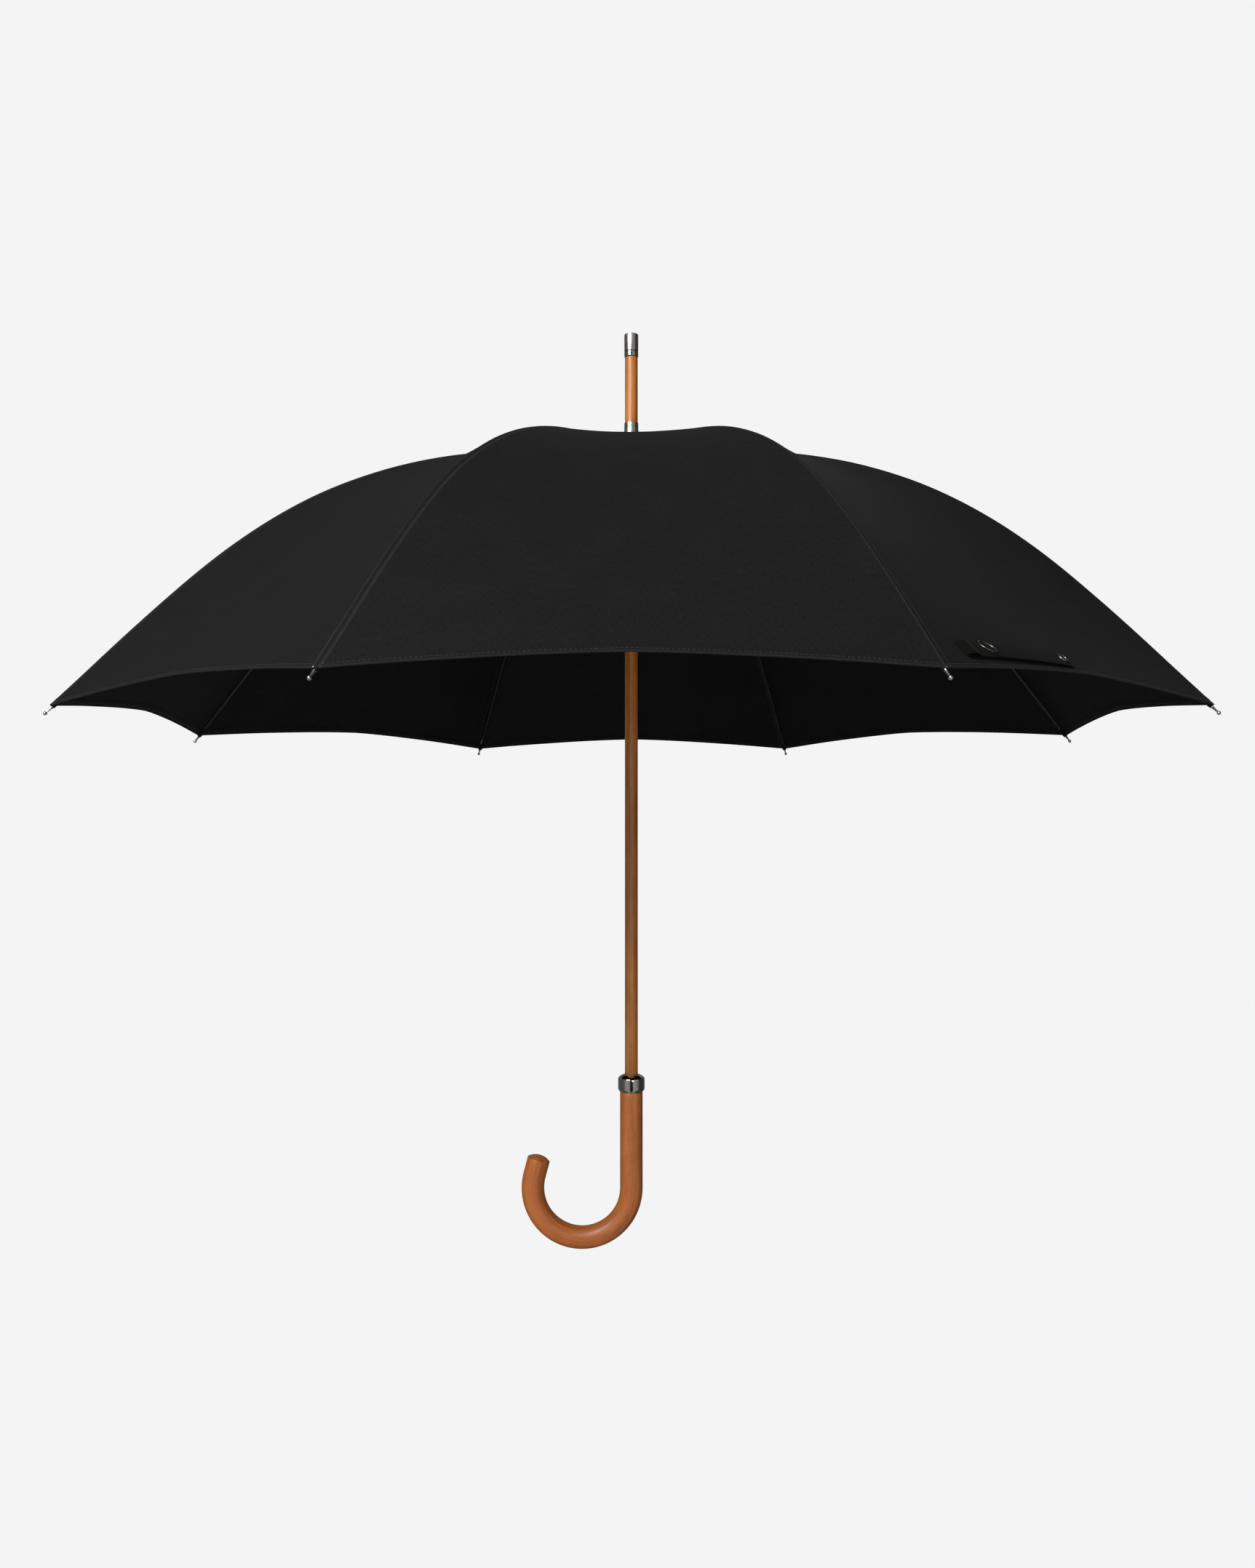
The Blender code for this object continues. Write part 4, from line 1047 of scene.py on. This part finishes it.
def strap_strip(start, end, width, lift, thick, round_end, steps=44):
    """A flat cloth band along the strap's line, slightly crowned, with turned edges and a round far end."""
    (s0, t0), (s1, t1) = STRAP_ENDS
    length = np.linalg.norm(gore(1, s0, t0) - gore(1, s1, t1))
    form = bmesh.new()
    across = [-1.0, -0.93, -0.8, -0.4, 0.0, 0.4, 0.8, 0.93, 1.0]
    layers = ([], [])
    places = []
    for step in range(steps + 1):
        share = start + (end - start) * step / steps
        frame_here = on_gore((s0 + share * (s1 - s0), t0 + share * (t1 - t0)), lift)
        to_end = (end - share) * float(length)
        half = width / 2
        if round_end and to_end < half:
            half = max(0.0006, math.sqrt(max(0.0, half**2 - (half - to_end) ** 2)))
        arch = 0.0009 * math.sin(math.pi * min(1.0, max(0.0, (share - start) / (end - start))))
        for side, layer in enumerate(layers):
            row = []
            for a in across:
                edge = thick * 0.35 * abs(a) ** 8
                height = arch + (thick - edge if side == 0 else edge)
                row.append(form.verts.new(frame_here @ Vector((0, a * half, height))))
                places.append((a * half, share * float(length), side))
            layer.append(row)
    count = len(across)
    top, under = layers
    for i in range(steps):
        for j in range(count - 1):
            form.faces.new((top[i][j], top[i][j + 1], top[i + 1][j + 1], top[i + 1][j]))
            form.faces.new((under[i][j], under[i + 1][j], under[i + 1][j + 1], under[i][j + 1]))
        for j in (0, count - 1):
            form.faces.new((top[i][j], top[i + 1][j], under[i + 1][j], under[i][j]))
    for i in (0, steps):
        for j in range(count - 1):
            form.faces.new((top[i][j], top[i][j + 1], under[i][j + 1], under[i][j]))
    bmesh.ops.recalc_face_normals(form, faces=form.faces)
    mesh = bpy.data.meshes.new("strip")
    form.to_mesh(mesh)
    form.free()
    grain_from(mesh, places, "cloth")
    smooth(mesh, 50.0)
    return mesh, float(length) * (end - start)


def tie_strap():
    """The band, the folded tab that holds its ring, the ring, and the snap at its end."""
    band, length = strap_strip(0.0, 1.0, STRAP_WIDTH, STRAP_LIFT, STRAP_THICK, True)
    strap = piece("strap_band", band, "rod_1", [STRAP_CLOTH], ["tie_strap"])
    fold(strap, 1, 1, "outer")
    above_band = STRAP_LIFT + STRAP_THICK + GAP
    tab_width = STRAP_WIDTH * 0.94
    tab_mesh, tab_length = strap_strip(0.0, STRAP_TAB / length, tab_width, above_band, 0.0012, False, 10)
    tab = piece("strap_tab", tab_mesh, "rod_1", [STRAP_CLOTH])
    fold(tab, 1, 1, "outer")
    above = STRAP_LIFT + STRAP_THICK + 0.0013
    turn = on_gore(STRAP_RING_AT, above) @ Matrix.Rotation(math.radians(9.0), 4, "X")
    around = [
        Vector((math.cos(a), math.sin(a), 0)) * STRAP_RING_RADIUS for a in np.linspace(0, 2 * math.pi, 49)
    ]
    ring = tube("ring", around, [STRAP_RING_WIRE] * 49, 12)
    ring.transform(turn)
    ring_piece = piece("strap_loop", ring, "rod_1", [DARK_METAL], ["strap_ring"])
    fold(ring_piece, 1, 1, "outer")
    r = SNAP_RADIUS
    line = rounded(
        [
            (0.0, 0.0012),
            (r * 0.28, 0.0012, 0.0002),
            (r * 0.36, 0.0007, 0.0002),
            (r * 0.58, 0.0007, 0.0002),
            (r * 0.66, 0.0015, 0.0002),
            (r * 0.88, 0.0016, 0.0003),
            (r, 0.0009, 0.0003),
            (r, 0.0, 0.0002),
            (0.0, 0.0),
        ],
        3,
    )
    snap = lathe("snap", line, 40, on_gore(SNAP_AT, STRAP_LIFT + STRAP_THICK + 0.0002), closed=False)
    snap_piece = piece("strap_button", snap, "rod_1", [DARK_METAL], ["strap_snap"])
    fold(snap_piece, 1, 1, "outer")


# CAD nodes that stay, with their real finish


def repaint():
    finishes = {
        "top_notch": BLACK_STEEL,
        "notch_wire": SPRING,
        "notch_pin": SPRING,
        "stop_pin": SPRING,
        "runner": BLACK_STEEL,
        "runner_wire": SPRING,
        "upper_catch_spring": SPRING,
        "lower_catch_spring": SPRING,
    }
    for number in range(1, RIBS + 1):
        finishes[f"rib_channel_{number}"] = BLACK_STEEL
        finishes[f"rib_rod_{number}"] = GLASS_FIBRE
        finishes[f"stretcher_{number}"] = BLACK_STEEL
    for name, material in finishes.items():
        obj = frame["nodes"][name]
        if not obj.material_slots:
            obj.data.materials.append(material)
        for slot in obj.material_slots:
            slot.material = material


# The set


BACKDROP = (0.904, 0.904, 0.904)

# The studio's walls as (turn, brightness): 0 is at -X, 0.25 in front, 0.5 at +X and 0.75 behind
ROOM = (
    (0.00, 0.08),
    (0.07, 0.14),
    (0.12, 0.36),
    (0.20, 0.32),
    (0.23, 0.01),
    (0.28, 0.01),
    (0.31, 0.40),
    (0.40, 0.24),
    (0.45, 0.04),
    (0.56, 0.04),
    (0.74, 0.16),
    (0.92, 0.10),
)


def room_of(tree, coordinates):
    """The walls' brightness by the direction round the shaft."""
    turn = node(tree, "ShaderNodeTexGradient", gradient_type="RADIAL")
    tree.links.new(node(tree, "ShaderNodeTexCoord").outputs[coordinates], turn.inputs["Vector"])
    return ramp_of(tree, turn.outputs["Fac"], [(place, (level,) * 3) for place, level in ROOM])


def backdrop_material():
    """Plain pale paper: even to the eye, diffuse for light that comes off it, banded in polished metal."""
    made = bpy.data.materials.new("backdrop")
    made.use_nodes = True
    tree = made.node_tree
    tree.nodes.clear()
    seen = node(tree, "ShaderNodeEmission")
    seen.inputs["Color"].default_value = (*BACKDROP, 1.0)
    paper = node(tree, "ShaderNodeBsdfDiffuse")
    paper.inputs["Color"].default_value = (0.82, 0.82, 0.82, 1.0)
    ray = node(tree, "ShaderNodeLightPath")
    bands = node(tree, "ShaderNodeEmission")
    tree.links.new(room_of(tree, "Object"), bands.inputs["Color"])
    mirrored = node(tree, "ShaderNodeMixShader")
    tree.links.new(ray.outputs["Is Glossy Ray"], mirrored.inputs["Fac"])
    tree.links.new(paper.outputs["BSDF"], mirrored.inputs[1])
    tree.links.new(bands.outputs["Emission"], mirrored.inputs[2])
    mix = node(tree, "ShaderNodeMixShader")
    out = node(tree, "ShaderNodeOutputMaterial")
    tree.links.new(ray.outputs["Is Camera Ray"], mix.inputs["Fac"])
    tree.links.new(mirrored.outputs["Shader"], mix.inputs[1])
    tree.links.new(seen.outputs["Emission"], mix.inputs[2])
    tree.links.new(mix.outputs["Shader"], out.inputs["Surface"])
    return made


def stage():
    mesh = bpy.data.meshes.new("floor")
    form = bmesh.new()
    bmesh.ops.create_grid(form, x_segments=2, y_segments=2, size=30.0)
    form.to_mesh(mesh)
    form.free()
    floor = bpy.data.objects.new("floor", mesh)
    floor.location.z = low("handle").z - 0.001
    mesh.materials.append(backdrop_material())
    bpy.context.scene.collection.objects.link(floor)
    world = bpy.data.worlds.new("studio")
    world.use_nodes = True
    bpy.context.scene.world = world
    tree = world.node_tree
    tree.nodes.clear()
    ray = node(tree, "ShaderNodeLightPath")
    seen = node(tree, "ShaderNodeBackground")
    seen.inputs["Color"].default_value = (*BACKDROP, 1.0)
    glow = node(tree, "ShaderNodeBackground")
    tree.links.new(room_of(tree, "Generated"), glow.inputs["Color"])
    mix = node(tree, "ShaderNodeMixShader")
    out = node(tree, "ShaderNodeOutputWorld")
    tree.links.new(ray.outputs["Is Camera Ray"], mix.inputs["Fac"])
    tree.links.new(glow.outputs["Background"], mix.inputs[1])
    tree.links.new(seen.outputs["Background"], mix.inputs[2])
    tree.links.new(mix.outputs["Shader"], out.inputs["Surface"])


def softbox(name, place, aim, size, power, colour=(1.0, 1.0, 1.0)):
    light = bpy.data.lights.new(name, "AREA")
    light.shape = "RECTANGLE"
    light.size, light.size_y = size
    light.energy = power
    light.color = colour
    obj = bpy.data.objects.new(name, light)
    obj.location = place
    obj.rotation_euler = (Vector(aim) - Vector(place)).to_track_quat("-Z", "Y").to_euler()
    bpy.context.scene.collection.objects.link(obj)


def lights():
    middle = (0, 0, 0.40)
    softbox("key", (-1.2, -2.2, 2.0), middle, (1.5, 1.5), 100.0, (1.0, 0.98, 0.95))
    softbox("fill", (2.4, -1.9, 0.5), middle, (1.0, 2.2), 0.5)
    softbox("low_front", (0.5, -2.2, -0.05), (0, 0, 0.05), (0.5, 0.9), 7.0)
    softbox("back", (0.4, 2.6, 1.6), middle, (2.4, 1.2), 1.5)


def camera():
    """A standard view from the front, a little below the canopy's hem and looking up by 1.6 degrees."""
    data = bpy.data.cameras.new("camera")
    data.sensor_fit = "VERTICAL"
    data.sensor_height = 36.0
    data.lens = 32.60
    obj = bpy.data.objects.new("camera", data)
    obj.location = (0.0032, -1.3970, 0.3083)
    obj.rotation_euler = (math.pi / 2 + 0.0279, 0.0, 0.0050)
    bpy.context.scene.collection.objects.link(obj)
    bpy.context.scene.camera = obj
    bpy.context.scene.view_settings.view_transform = "Standard"


camera()
stage()
lights()
canopy()
crown_washer()
for rib in range(1, RIBS + 1):
    ball_tip(rib)
    tip_pocket(rib)
rib_ties()
shaft()
ferrule()
crown_cap()
collar()
handle()
tie_strap()
repaint()
